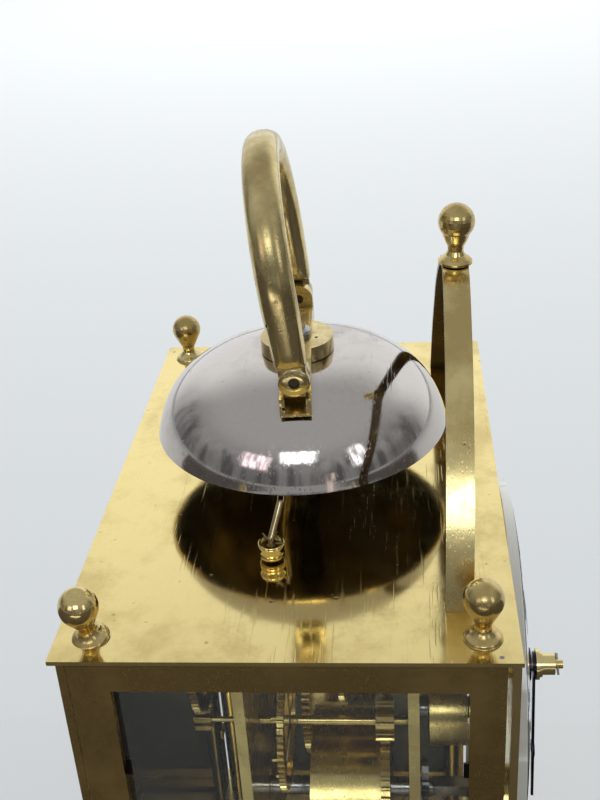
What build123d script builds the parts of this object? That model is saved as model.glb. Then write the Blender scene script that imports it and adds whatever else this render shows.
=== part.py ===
"""Brass travelling clock with a bell and a carrying handle, one STEP file for each piece.

Millimetres. +Z is up and the dial faces -Y. Everything is drawn from a point on the table under the
middle of the case, and save() then moves it so that the origin is under the middle of the whole
clock, from the tip of the hands' arbor to the rear door's knob. Wheels and arbors lie along Y.
"""
import math
import os

from build123d import *

os.makedirs("parts", exist_ok=True)

# ---------------------------------------------------------------- case
TOP_X, TOP_Y, TOP_T = 144.0, 94.0, 1.0       # top plate, a thin sheet
TOP_Z = 200.0                                # its upper face
UNDER_TOP = TOP_Z - TOP_T
BASE_X, BASE_Y, BASE_T = 150.0, 100.0, 3.0
FOOT_H, FOOT_R = 17.0, 8.0
FOOT_AT = (62.0, 38.0)
BASE_TOP = FOOT_H + BASE_T
FRONT_X = 142.0                              # front plate, behind the dial
FRONT_FACE, FRONT_T = -46.7, 1.7
FRONT_BACK = FRONT_FACE + FRONT_T
WINDOW_W, WINDOW_LOW, WINDOW_HIGH = 56.0, 34.0, 80.0
POST_AT = (64.5, 39.6)                       # corner posts, with the finials above them
POST_R = 2.5
STUD_R, STUD_UP = 1.4, 3.0                   # threaded ends of the posts, up into the finials

# ---------------------------------------------------------------- doors
DOOR_T, GLASS_T, GLASS_LAP = 1.8, 1.2, 1.6
DOOR_LOW, DOOR_HIGH = BASE_TOP + 0.8, UNDER_TOP - 0.8
SIDE_FACE = 71.2                             # outer face of a side door
SIDE_FRONT, SIDE_BACK = -44.0, 43.6
REAR_HALF, REAR_INNER = 70.0, 44.2
STILE_FRONT, STILE_BACK, RAIL = 7.2, 8.4, 6.6
DOOR_PIN_R, DOOR_PIN_GAP = 0.5, 0.06
PIN_INSET = 1.2                              # pin axis from the hinge edge
PIN_DEPTH, PIN_END_GAP = 4.0, 0.2

# ---------------------------------------------------------------- on the top plate
FINIAL_BASE_R, FINIAL_BALL_R, FINIAL_BALL_UP = 3.85, 4.1, 9.6
FINIAL_NECK_R = 1.75
ARCH_HALF, ARCH_RISE = 56.5, 54.0            # outer line of the strip
ARCH_W, ARCH_T, ARCH_Y = 5.8, 1.8, -35.4
ARCH_FOOT_ANGLE, ARCH_CROWN_ANGLE = 71.0, 25.0
ARCH_LEAN = 1.5                              # degrees towards the dial
BELL_R, BELL_RIM_UP, BELL_TOP_UP, BELL_T = 34.9, 14.3, 33.3, 1.3
BELL_FULLNESS = 2.5                          # exponent of the dome's profile
BELL_POST_R, BELL_POST_TOP_R = 3.2, 2.2
CAP_R, CAP_T = 8.55, 3.6                     # disc that clamps the bell, with the handle's arms
BRIDGE_TURN = 3.0                            # degrees, the bridge sits a little askew
EYE_X, EYE_T, EYE_R = 26.2, 2.9, 3.5
PIVOT_UP = 37.4
HANDLE_PIN_R, HANDLE_PIN_GAP = 1.2, 0.05
SWING_GAP, LUG_GAP, ARM_GAP = 0.25, 0.15, 0.45   # under the eye, beside it, between arm and bell
LUG_T = 3.4
ARM_W = 7.0
HANDLE_HALF, HANDLE_RISE, HANDLE_LEAN = 24.6, 44.4, 6.6
HANDLE_RY, HANDLE_RX = 4.05, 3.4             # section of the handle

# ---------------------------------------------------------------- dial and hands
DIAL_Z = TOP_Z - 63.0
DIAL_R, DIAL_RIM_FRONT, DIAL_RIM_T, DIAL_RISE = 50.0, -51.6, 2.4, 4.3
DIAL_SKIN = 2.0
HAND_T = 0.7
HOUR_HAND_Y, MINUTE_HAND_Y = -57.5, -58.9    # front faces
HOUR_LEN, MINUTE_LEN = 28.0, 41.0
HOUR_TURN, MINUTE_TURN = 196.0, 192.0        # degrees clockwise from twelve
COLLET_FRONT, ARBOR_FRONT = -64.0, -66.2

# ---------------------------------------------------------------- movement
PLATE_HALF, PLATE_LOW, PLATE_HIGH, PLATE_T = 52.0, DIAL_Z - 50.0, DIAL_Z + 52.0, 2.5
FRONT_PLATE_Y, BACK_PLATE_Y = -27.0, 12.0    # front faces of the two plates
INNER_FRONT = FRONT_PLATE_Y + PLATE_T
BACK_FACE = BACK_PLATE_Y + PLATE_T
PILLAR_AT = ((-48.5, -45.0), (48.5, -45.0), (-48.5, 47.0), (48.5, 47.0))   # x, z from dial centre
PILLAR_R, TENON_R, DIAL_POST_R = 3.0, 1.6, 2.6
ARBOR_R, SLIM_R, PIVOT_R, RUN_GAP = 1.1, 0.8, 0.7, 0.05
SHAKE = 0.3                                  # end play of an arbor

GREAT_TEETH, GREAT_MODULE, BIG_PINION = 72, 0.75, 12
BARREL_R = 21.0
BARREL_AT = (25.0, -19.16)                   # from the dial centre, mirrored left and right
CENTRE_TEETH, THIRD_TEETH, FINE_MODULE = 96, 75, 0.42
THIRD_PINION, ESCAPE_PINION, ESCAPE_TEETH, ESCAPE_R = 8, 6, 36, 10.5
THIRD_AT, ESCAPE_AT = (12.0, 18.25), (0.0, 30.3)
ANCHOR_UP = 43.5                             # above the dial centre
PIN_TEETH, PIN_MODULE, LOCK_PINION = 60, 0.55, 8
LOCK_TEETH, LOCK_MODULE, WARN_PINION = 56, 0.5, 7
WARN_TEETH, WARN_MODULE, FLY_PINION = 48, 0.45, 6
PIN_AT, LOCK_AT, WARN_AT, FLY_AT = (-33.0, 11.3), (-19.0, 23.7), (-29.0, 35.87), (-40.5, 31.95)
COUNT_TEETH, COUNT_MODULE, COUNT_PINION = 64, 0.6, 8
CANNON_TEETH, MINUTE_TEETH, MINUTE_PINION, HOUR_TEETH = 12, 36, 10, 40
CANNON_MODULE, HOUR_MODULE = 0.625, 0.6
MINUTE_AT = (10.6066, -10.6066)
ALARM_AT, ALARM_R = (-30.0, 13.0), 9.0
PENDULUM_Y, BOB_DROP, BOB_R, BOB_T = 20.0, 115.0, 14.0, 6.0
HAMMER_AT = (20.0, 48.0)                     # hammer arbor, from the dial centre

TOOTH_DEPTH = 1.15                           # below the pitch circle, in modules
ROOT_WIDE, TIP_NARROW = 1.30, 0.45           # widths of a tooth against that at the pitch circle
WHEEL_TIP, WHEEL_THICK = 0.72, 0.19          # height above the pitch circle, half width in pitches
LEAF_TIP, LEAF_THICK = 0.55, 0.15            # the same for the leaves of a pinion
PIVOT_L = 2.2                                # a pivot's length past its shoulder

HAMMER_SLOT_X, HAMMER_Y, HAMMER_SLOT_HALF = (16.0, 25.0), 5.6, 1.6
CENTRE_HOLE_R, WINDING_HOLE_R = 6.0, 4.0     # in the front plate
STUD_GRIP = 1.0                              # metal left under a stud's end in the base plate
BASE_BEVEL = 1.2
THREAD_FIT = 0.02                            # under the bell post's holes, all round

KNOB_L = 5.0
REAR_TIP = REAR_INNER + DOOR_T + KNOB_L
MIDDLE_Y = (ARBOR_FRONT + REAR_TIP) / 2      # middle of the whole depth


def save(name, *solids):
    """Write one node in the clock's own frame. Several solids make one compound."""
    placed = [Pos(0, -MIDDLE_Y, 0) * solid for solid in solids]
    body = placed[0] if len(placed) == 1 else Compound(children=placed)
    body.label = name
    export_step(body, f"parts/{name}.step")


def block(x0, x1, y0, y1, z0, z1):
    """Box between two corners."""
    return Pos((x0 + x1) / 2, (y0 + y1) / 2, (z0 + z1) / 2) * Box(x1 - x0, y1 - y0, z1 - z0)


def post(x, y, z0, z1, r):
    """Upright round bar."""
    return Pos(x, y, (z0 + z1) / 2) * Cylinder(r, z1 - z0)


def bar(x, z, y0, y1, r):
    """Round bar along Y, its place given from the dial centre."""
    return Pos(x, (y0 + y1) / 2, DIAL_Z + z) * Rot(90, 0, 0) * Cylinder(r, y1 - y0)


def turned(points):
    """Solid turned about Z from an outline of (radius, height) points."""
    outline = Polyline(*[(r, 0, z) for r, z in points], close=True)
    return revolve(make_face(outline), Axis.Z, 360)


def upright(sketch, x, z, y0, y1):
    """Plate cut to a flat outline, standing across Y between y0 and y1."""
    return Pos(x, y1, DIAL_Z + z) * Rot(90, 0, 0) * extrude(sketch, amount=y1 - y0)


def toothed(teeth, module, phase, tip, thick):
    """Outline of a gear. phase turns it, in teeth; tip and thick are in modules and pitches."""
    r = teeth * module / 2
    foot = r - TOOTH_DEPTH * module
    crest = r + tip * module
    marks = ((foot, -thick * ROOT_WIDE), (r, -thick), (crest, -thick * TIP_NARROW),
             (crest, thick * TIP_NARROW), (r, thick), (foot, thick * ROOT_WIDE))
    points = []
    for tooth in range(teeth):
        for radius, offset in marks:
            angle = 2 * math.pi * (tooth + phase + offset) / teeth
            points.append((radius * math.cos(angle), radius * math.sin(angle)))
    return make_face(Polyline(*points, close=True))


def wheel_outline(teeth, module, phase=0.0, spokes=4, hub=4.0, rim=2.2):
    """Brass wheel with crossings between its spokes."""
    outline = toothed(teeth, module, phase, WHEEL_TIP, WHEEL_THICK)
    r_out = teeth * module / 2 - TOOTH_DEPTH * module - rim
    narrowest, spoke_half = 2.0, 1.1
    if r_out - hub < narrowest:
        return outline
    ring = Circle(r_out) - Circle(hub)
    wedge_half = math.pi / spokes
    reach_x, reach_y = 2 * r_out * math.cos(wedge_half), 2 * r_out * math.sin(wedge_half)
    wedge = make_face(Polyline((0, 0), (reach_x, -reach_y), (reach_x, reach_y), close=True))
    crossing = ring & (Pos(spoke_half / math.sin(wedge_half), 0) * wedge)
    for k in range(spokes):
        outline -= Rot(0, 0, 360.0 * (k + 0.5) / spokes) * crossing
    return outline


def pinion_outline(teeth, module, phase=0.0):
    """Steel pinion with slim leaves."""
    return toothed(teeth, module, phase, LEAF_TIP, LEAF_THICK)


def mesh_phase(driver_teeth, driver_phase, teeth, dx, dz):
    """Phase that puts a gap of this gear on a tooth of the driver; dx, dz point to this gear."""
    towards = math.degrees(math.atan2(dz, dx))
    driver_tooth = (towards * driver_teeth / 360.0 - driver_phase) % 1.0
    back = (towards + 180.0) * teeth / 360.0
    return (back + driver_tooth + 0.5) % 1.0


def arbor(x, z, y0, y1, r=ARBOR_R):
    """Steel arbor with a thinner pivot at each end, running in the two plates."""
    body = bar(x, z, y0, y1, r)
    return body + bar(x, z, y0 - PIVOT_L, y1 + PIVOT_L, PIVOT_R)


# ================================================================ case
foot_outline = [(0, 0), (4.6, 0), (7.0, 1.6), (FOOT_R, 4.6), (7.2, 7.8), (4.4, 9.6), (3.6, 11.0),
                (4.4, 12.2), (6.4, 12.8), (6.8, 14.2), (6.0, 15.2), (6.0, FOOT_H), (0, FOOT_H)]
foot = turned(foot_outline)
save("feet", *[Pos(sx * FOOT_AT[0], sy * FOOT_AT[1], 0) * foot for sx in (-1, 1) for sy in (-1, 1)])

base_plate = block(-BASE_X / 2, BASE_X / 2, -BASE_Y / 2, BASE_Y / 2, FOOT_H, BASE_TOP)
base_plate = chamfer(base_plate.edges().group_by(Axis.Z)[-1], BASE_BEVEL)
top_plate = block(-TOP_X / 2, TOP_X / 2, -TOP_Y / 2, TOP_Y / 2, UNDER_TOP, TOP_Z)

# holes for the door pins, the posts' studs, the bell post and the hammer
door_pins = []
side_pin_x = SIDE_FACE - DOOR_T / 2
side_pin_y = SIDE_FRONT + PIN_INSET
rear_pin = (REAR_HALF - PIN_INSET, REAR_INNER + DOOR_T / 2)
pin_places = ((-side_pin_x, side_pin_y), (side_pin_x, side_pin_y), rear_pin)
for px, py in pin_places:
    upper = post(px, py, DOOR_HIGH - PIN_DEPTH, TOP_Z, DOOR_PIN_R)
    lower = post(px, py, FOOT_H + STUD_GRIP / 2, DOOR_LOW + PIN_DEPTH, DOOR_PIN_R)
    door_pins += [upper, lower]
    top_plate -= upper
    base_plate -= lower
save("door_pins", *door_pins)

corner_posts = []
for sx in (-1, 1):
    for sy in (-1, 1):
        x, y = sx * POST_AT[0], sy * POST_AT[1]
        stud = post(x, y, FOOT_H + STUD_GRIP, TOP_Z + STUD_UP, STUD_R)
        corner_posts.append(post(x, y, BASE_TOP, UNDER_TOP, POST_R) + stud)
        top_plate -= stud
        base_plate -= stud
save("corner_posts", *corner_posts)

hammer_slot_y = (HAMMER_Y - HAMMER_SLOT_HALF, HAMMER_Y + HAMMER_SLOT_HALF)
top_plate -= block(*HAMMER_SLOT_X, *hammer_slot_y, UNDER_TOP, TOP_Z)
top_plate -= post(0, 0, UNDER_TOP, TOP_Z, BELL_POST_TOP_R)
save("base_plate", base_plate)
save("top_plate", top_plate)

front_plate = block(-FRONT_X / 2, FRONT_X / 2, FRONT_FACE, FRONT_BACK, BASE_TOP, UNDER_TOP)
arch_top = WINDOW_HIGH - WINDOW_W / 2
window = block(-WINDOW_W / 2, WINDOW_W / 2, FRONT_FACE, FRONT_BACK, WINDOW_LOW, arch_top)
window += bar(0, arch_top - DIAL_Z, FRONT_FACE, FRONT_BACK, WINDOW_W / 2)
front_plate -= window
front_plate -= bar(0, 0, FRONT_FACE, FRONT_BACK, CENTRE_HOLE_R)
for side in (-1, 1):
    front_plate -= bar(side * BARREL_AT[0], BARREL_AT[1], FRONT_FACE, FRONT_BACK, WINDING_HOLE_R)
save("front_plate", front_plate)


# ================================================================ doors
def door_leaf(back_x, front_x, back_stile, front_stile):
    """Door frame standing across Y: outer face at Y 0, inner face at DOOR_T."""
    frame = block(back_x, front_x, 0, DOOR_T, DOOR_LOW, DOOR_HIGH)
    opening = block(back_x + back_stile, front_x - front_stile, 0, DOOR_T, DOOR_LOW + RAIL, DOOR_HIGH - RAIL)
    return frame - opening


def glass_tabs(back_x, front_x, back_stile, front_stile):
    """Small bent tabs that hold the pane, soldered to the frame."""
    tabs = []
    tab_half, tab_t, reach, grip, from_end, play = 2.0, 0.5, 3.0, 1.0, 30.0, 0.2
    inner = DOOR_T + GLASS_T
    for z in (DOOR_LOW + from_end, (DOOR_LOW + DOOR_HIGH) / 2, DOOR_HIGH - from_end):
        for edge, way in ((back_x + back_stile, -1), (front_x - front_stile, 1)):
            x0, x1 = sorted((edge + way * reach, edge - way * grip))
            foot_x = sorted((edge + way * reach, edge + way * (GLASS_LAP + play)))
            tab = block(x0, x1, inner, inner + tab_t, z - tab_half, z + tab_half)
            tabs.append(tab + block(*foot_x, DOOR_T, inner + tab_t, z - tab_half, z + tab_half))
    return tabs


knob_outline = [(0, 0), (1.1, 0), (1.1, 1.2), (2.2, 2.0), (2.6, 3.2), (2.2, 4.3), (1.2, 4.9), (0, KNOB_L)]


def hung(name, span, stiles, hinge_at_end, place):
    """Save the four pieces of one door. Its leaf is bored for the pins at one end of span."""
    back_x, front_x = span
    back_stile, front_stile = stiles
    leaf = door_leaf(back_x, front_x, back_stile, front_stile)
    hinge_x = front_x - PIN_INSET if hinge_at_end else back_x + PIN_INSET
    knob_x = back_x + back_stile / 2 if hinge_at_end else front_x - front_stile / 2
    bore_l = PIN_DEPTH + PIN_END_GAP
    for z0, z1 in ((DOOR_HIGH - bore_l, DOOR_HIGH), (DOOR_LOW, DOOR_LOW + bore_l)):
        leaf -= post(hinge_x, DOOR_T / 2, z0, z1, DOOR_PIN_R + DOOR_PIN_GAP)
    pane_back, pane_front = back_x + back_stile - GLASS_LAP, front_x - front_stile + GLASS_LAP
    pane_low, pane_high = DOOR_LOW + RAIL - GLASS_LAP, DOOR_HIGH - RAIL + GLASS_LAP
    glass = block(pane_back, pane_front, DOOR_T, DOOR_T + GLASS_T, pane_low, pane_high)
    knob = Pos(knob_x, 0, (DOOR_LOW + DOOR_HIGH) / 2) * Rot(90, 0, 0) * turned(knob_outline)
    for tab in glass_tabs(back_x, front_x, back_stile, front_stile):
        leaf += tab
    save(f"{name}_frame", place * leaf)
    save(f"{name}_glass", place * glass)
    save(f"{name}_knob", place * knob)


hung("left_door", (-SIDE_BACK, -SIDE_FRONT), (STILE_BACK, STILE_FRONT), True,
     Pos(-SIDE_FACE, 0, 0) * Rot(0, 0, -90))
hung("right_door", (SIDE_FRONT, SIDE_BACK), (STILE_FRONT, STILE_BACK), False,
     Pos(SIDE_FACE, 0, 0) * Rot(0, 0, 90))
hung("rear_door", (-REAR_HALF, REAR_HALF), (STILE_BACK, STILE_BACK), False,
     Pos(0, REAR_INNER + DOOR_T, 0) * Rot(0, 0, 180))


# ================================================================ finials, arch and bell
def finial(bore_depth):
    """Turned ball on a waisted neck and a flared foot, tapped from below for its stud."""
    ball_z, r = FINIAL_BALL_UP, FINIAL_BALL_R
    waist = [(FINIAL_BASE_R, 0), (FINIAL_BASE_R, 0.5), (3.3, 1.1), (2.2, 1.9), (FINIAL_NECK_R, 2.8),
             (1.9, 4.0), (2.5, 5.2)]
    angles = [math.radians(a) for a in range(-40, 90, 10)]
    ball = [(r * math.cos(a), ball_z + r * math.sin(a)) for a in angles] + [(0, ball_z + r)]
    if not bore_depth:
        return turned([(0, 0)] + waist + ball)
    return turned(waist + ball + [(0, bore_depth), (STUD_R, bore_depth), (STUD_R, 0)])


corner_finial = finial(STUD_UP)
finials = [Pos(sx * POST_AT[0], sy * POST_AT[1], TOP_Z) * corner_finial
           for sx in (-1, 1) for sy in (-1, 1)]
save("corner_finials", *finials)

# the strip's outer line: two long arcs from the feet, joined by a short crown arc
foot_a, crown_a = math.radians(ARCH_FOOT_ANGLE), math.radians(ARCH_CROWN_ANGLE)
long_dx, long_dz = math.sin(foot_a) - math.sin(crown_a), math.cos(crown_a) - math.cos(foot_a)
crown_dx, crown_dz = math.sin(crown_a), 1 - math.cos(crown_a)
spread = long_dx * crown_dz - crown_dx * long_dz
long_r = (ARCH_HALF * crown_dz - crown_dx * ARCH_RISE) / spread
crown_r = (long_dx * ARCH_RISE - ARCH_HALF * long_dz) / spread


def arch_line(inset, side):
    """Points of the arch's line at a depth under its outer face: foot, long arc, crown join, crown."""
    def at(radius, centre, angle):
        return (side * (centre[0] - (radius - inset) * math.sin(angle)),
                centre[1] + (radius - inset) * math.cos(angle))
    long_centre = (-ARCH_HALF + long_r * math.sin(foot_a), -long_r * math.cos(foot_a))
    crown_centre = (0.0, ARCH_RISE - crown_r)
    mid_long, mid_crown = (foot_a + crown_a) / 2, crown_a / 2
    return (at(long_r, long_centre, foot_a), at(long_r, long_centre, mid_long),
            at(crown_r, crown_centre, crown_a), at(crown_r, crown_centre, mid_crown),
            at(crown_r, crown_centre, 0.0))


def arch_edge(inset):
    """Outer or inner edge of the strip, from the left foot to the right foot."""
    left, right = arch_line(inset, 1), arch_line(inset, -1)
    return [ThreePointArc(left[0], left[1], left[2]), ThreePointArc(left[2], left[3], left[4]),
            ThreePointArc(left[4], right[3], right[2]), ThreePointArc(right[2], right[1], right[0])]


outer, inner = arch_edge(0), arch_edge(ARCH_T)
closing = [Line(outer[0] @ 0, inner[0] @ 0), Line(outer[3] @ 1, inner[3] @ 1)]
arch_face = make_face(outer + inner + closing)
arch = Pos(0, ARCH_Y + ARCH_W / 2, 0) * Rot(90, 0, 0) * extrude(arch_face, amount=ARCH_W)
lean = Rot(ARCH_LEAN, 0, 0)
arch_place = Pos(0, ARCH_Y, TOP_Z) * lean * Pos(0, -ARCH_Y, 0)
arch = arch_place * arch
arch &= block(-TOP_X, TOP_X, -TOP_Y, TOP_Y, TOP_Z, TOP_Z + 2 * ARCH_RISE)
tenon_up = 2.5                               # into the finial on the arch
tenon = arch_place * (Pos(0, ARCH_Y, ARCH_RISE - ARCH_T) * post(0, 0, 0, ARCH_T + tenon_up, STUD_R))
save("arch", arch - tenon)
save("arch_finial", arch_place * (Pos(0, ARCH_Y, ARCH_RISE) * finial(0)) + tenon)

bell_steps = 20


def bell_profile(r, height):
    """Outline of a superellipse dome, from rim to crown."""
    power = 2 / BELL_FULLNESS
    quarter = [math.pi / 2 * k / bell_steps for k in range(bell_steps)]
    return [(r * math.cos(t) ** power, height * math.sin(t) ** power) for t in quarter] + [(0, height)]


bell_height = BELL_TOP_UP - BELL_RIM_UP


def dome(r, height):
    """Solid dome with a smooth meridian."""
    points = bell_profile(r, height)
    meridian = Spline(*[(x, 0, z) for x, z in points], tangents=((0, 0, 1), (-1, 0, 0)))
    face = make_face([meridian, Line((0, 0, height), (0, 0, 0)), Line((0, 0, 0), (r, 0, 0))])
    return revolve(face, Axis.Z, 360)


bell_z = TOP_Z + BELL_RIM_UP
bell = Pos(0, 0, bell_z) * (dome(BELL_R, bell_height) - dome(BELL_R - BELL_T, bell_height - BELL_T))
bell -= post(0, 0, bell_z, bell_z + bell_height + 1, BELL_POST_TOP_R)
save("bell", bell)

cap_top = TOP_Z + BELL_TOP_UP + CAP_T
seat_up = BELL_TOP_UP - BELL_T - 0.1         # just under the dome's inner face
post_nut_t, post_nut_r, nut_t, nut_r = 3.0, 4.5, 2.2, 3.4
thread_r = BELL_POST_TOP_R - THREAD_FIT
bell_post = post(0, 0, UNDER_TOP - post_nut_t, UNDER_TOP, post_nut_r)
bell_post += post(0, 0, UNDER_TOP, TOP_Z, BELL_POST_TOP_R)
bell_post += Pos(0, 0, TOP_Z) * turned([(0, 0), (5.2, 0), (5.2, 1.2), (BELL_POST_R, 2.4), (2.6, 20.0),
                                        (nut_r, 29.0), (nut_r, seat_up), (0, seat_up)])
bell_post += post(0, 0, TOP_Z + seat_up, cap_top + nut_t, thread_r)
nut_outline = [(thread_r, 0), (nut_r, 0), (nut_r, 1.6), (3.0, nut_t), (thread_r, nut_t)]
save("bell_nut", Pos(0, 0, cap_top) * turned(nut_outline))
save("bell_post", bell_post)

# ================================================================ handle
PIVOT_Z = TOP_Z + PIVOT_UP
turn = Rot(0, 0, BRIDGE_TURN)
cap_low = TOP_Z + BELL_TOP_UP
arm_top = PIVOT_Z - EYE_R - SWING_GAP


def bell_z_at(r):
    """Height of the bell's outer face at a radius."""
    fullness = BELL_FULLNESS
    return bell_z + bell_height * (1 - (r / BELL_R) ** fullness) ** (1 / fullness)


bridge = post(0, 0, cap_low, cap_top, CAP_R)
lug_x1 = EYE_X - EYE_T - LUG_GAP
lug_x0 = lug_x1 - LUG_T
slot_x0, slot_floor, slot_half = EYE_X - 4.4, 0.75, 2.3
arm_root = CAP_R - 3.0
for side in (-1, 1):
    under = [(x, bell_z_at(x) + ARM_GAP) for x in (12.0, 15.0, 18.0, slot_x0, 24.0, EYE_X)]
    over = [(EYE_X, arm_top), (lug_x1, arm_top), (lug_x1, PIVOT_Z), (lug_x0, PIVOT_Z),
            (lug_x0, arm_top + 1.5), (13.0, cap_top), (arm_root, cap_top)]
    outline = [(arm_root, cap_low)] + under + over
    floor = [(x, z + slot_floor) for x, z in under[3:]]
    slot_outline = floor + [(EYE_X + 1, floor[-1][1]), (EYE_X + 1, arm_top + 0.2), (slot_x0, arm_top + 0.2)]
    arm_face = make_face(Polyline(*[(side * x, -ARM_W / 2, z) for x, z in outline], close=True))
    slot_face = make_face(Polyline(*[(side * x, -slot_half, z) for x, z in slot_outline], close=True))
    arm = extrude(arm_face, amount=ARM_W, dir=(0, 1, 0))
    arm -= extrude(slot_face, amount=2 * slot_half, dir=(0, 1, 0))
    lug_place = Pos(side * (lug_x0 + lug_x1) / 2, 0, PIVOT_Z) * Rot(0, 90, 0)
    bridge += arm + lug_place * Cylinder(EYE_R, LUG_T)
    bridge -= lug_place * Cylinder(HANDLE_PIN_R, LUG_T + 1)
bridge -= post(0, 0, cap_low, cap_top, BELL_POST_TOP_R)
save("handle_bridge", turn * bridge)

pins = []
for side in (-1, 1):
    outer_x, inner_x = EYE_X - 0.5, lug_x0
    pins.append(Pos(side * (outer_x + inner_x) / 2, 0, PIVOT_Z) * Rot(0, 90, 0)
                * Cylinder(HANDLE_PIN_R, outer_x - inner_x))
save("handle_pins", *[turn * pin for pin in pins])

# the ring: a leg rises from each eye, swells and closes in a round top
leg_x = EYE_X - EYE_T / 2
leg_start, leg_cut, neck_up = 4.6, 5.2, 5.6
shoulder_up = HANDLE_RISE - HANDLE_HALF
left_shoulder, right_shoulder = (-HANDLE_HALF, 0, shoulder_up), (HANDLE_HALF, 0, shoulder_up)
left_leg = Spline((-leg_x, 0, leg_start), left_shoulder, tangents=((0, 0, 1), (0, 0, 1)))
crown = ThreePointArc(left_shoulder, (0, 0, HANDLE_RISE), right_shoulder)
right_leg = Spline(right_shoulder, (leg_x, 0, leg_start), tangents=((0, 0, -1), (0, 0, -1)))
ring_path = Wire([left_leg, crown, right_leg])
ring_start = Plane(origin=ring_path @ 0, z_dir=ring_path % 0, x_dir=(0, 1, 0))
ring = sweep(ring_start * Ellipse(HANDLE_RY, HANDLE_RX), path=ring_path)
ring -= block(-leg_x - 10, leg_x + 10, -10, 10, -10, leg_cut)
for side in (-1, 1):
    eye = Pos(side * leg_x, 0, 0) * Rot(0, 90, 0) * Cylinder(EYE_R, EYE_T)
    neck = Pos(side * leg_x, 0, neck_up / 2) * Box(EYE_T, 2 * EYE_R, neck_up)
    hole = Pos(side * leg_x, 0, 0) * Rot(0, 90, 0) * Cylinder(HANDLE_PIN_R + HANDLE_PIN_GAP, 12.0)
    ring += neck + eye
    ring -= hole
handle = turn * (Pos(0, 0, PIVOT_Z) * Rot(-HANDLE_LEAN, 0, 0) * ring)
save("handle", handle)


# ================================================================ hammer
hammer_x, hammer_z = HAMMER_AT[0], DIAL_Z + HAMMER_AT[1]
HEAD_X, HEAD_Y, HEAD_UP, HEAD_R, HEAD_H = -37.6, 4.8, 0.6, 2.95, 3.8
HAMMER_WIRE = 0.75
head_z = TOP_Z + HEAD_UP
head = post(HEAD_X, HEAD_Y, head_z, head_z + HEAD_H, HEAD_R)
recess, head_rim, groove_up, groove_t, groove_depth = 1.0, 0.6, 1.0, 0.5, 0.35
head -= post(HEAD_X, HEAD_Y, head_z + HEAD_H - recess, head_z + HEAD_H, HEAD_R - head_rim)
groove = Cylinder(HEAD_R + 1, groove_t) - Cylinder(HEAD_R - groove_depth, groove_t)
head -= Pos(HEAD_X, HEAD_Y, head_z + groove_up) * groove
wire_seat = head_z + 1.3
wire_line = [(hammer_x, HAMMER_Y, hammer_z), (hammer_x, HAMMER_Y, TOP_Z + 3.0),
             (12.0, HAMMER_Y, TOP_Z + 11.0), (-6.0, HAMMER_Y, TOP_Z + 14.0),
             (-27.0, HAMMER_Y - 2.8, TOP_Z + 13.8), (-32.7, 2.6, TOP_Z + 12.0),
             (HEAD_X, HEAD_Y, TOP_Z + 5.0), (HEAD_X, HEAD_Y, wire_seat)]
wire_bend_r = 1.4
wire_path = FilletPolyline(*wire_line, radius=wire_bend_r)
hammer_wire = sweep(Plane(origin=wire_path @ 0, z_dir=wire_path % 0) * Circle(HAMMER_WIRE), path=wire_path)
head -= post(HEAD_X, HEAD_Y, wire_seat, head_z + HEAD_H, HAMMER_WIRE)
collar_half, collar_r = 2.0, 2.2
collar = bar(*HAMMER_AT, HAMMER_Y - collar_half, HAMMER_Y + collar_half, collar_r)
tail_line = [(-1.2, 0), (-1.2, -8.0), (-3.0, -10.0), (-2.2, -11.0), (1.2, -8.4), (1.2, 0)]
tail_face = make_face(Polyline(*tail_line, close=True))
tail = upright(tail_face, *HAMMER_AT, HAMMER_Y - 1.0, HAMMER_Y + 0.2)
hammer_arbor = arbor(*HAMMER_AT, INNER_FRONT + SHAKE, BACK_PLATE_Y - SHAKE)
collar += tail
collar -= bar(*HAMMER_AT, HAMMER_Y - collar_half - 1, HAMMER_Y + collar_half + 1, ARBOR_R) + hammer_wire
save("hammer_head", head)
save("hammer_wire", hammer_wire - hammer_arbor)
save("hammer_arbor", hammer_arbor + collar)
wrap_z, wrap_h, wrap_t, strand_r, strand_l = head_z + HEAD_H + 0.1, 0.9, 0.35, 0.2, 3.0
smallest_strand = 0.2                        # cubic millimetres; shorter ends are trimmed off
binding = post(HEAD_X, HEAD_Y, wrap_z - wrap_h, wrap_z, HAMMER_WIRE + wrap_t)
for tilt, spin in ((75, 40), (-72, 160), (80, 250)):
    twist = Rot(0, 0, spin) * Rot(0, tilt, 0)
    binding += Pos(HEAD_X, HEAD_Y, wrap_z - 0.4) * twist * Pos(0, 0, 1.8) * Cylinder(strand_r, strand_l)
binding -= hammer_wire
strands = (binding - head).solids()
save("hammer_binding", *[strand for strand in strands if strand.volume > smallest_strand])

# ================================================================ dial
rim_back = DIAL_RIM_FRONT + DIAL_RIM_T
hole_r, winding_r = 3.7, 3.4                 # for the hour pipe and the winding squares


def cap_arc(radius, rise, front):
    """Half of a shallow dome's arc, drawn from the rim to the hole: (radius, distance in front)."""
    ball_r = (radius ** 2 + rise ** 2) / (2 * rise)
    centre_y = front + rise - ball_r
    middle_r = (radius + hole_r) / 2
    heights = [centre_y + math.sqrt(ball_r ** 2 - r ** 2) for r in (radius, middle_r, hole_r)]
    return [(r, 0, h) for r, h in zip((radius, middle_r, hole_r), heights)]


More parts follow.
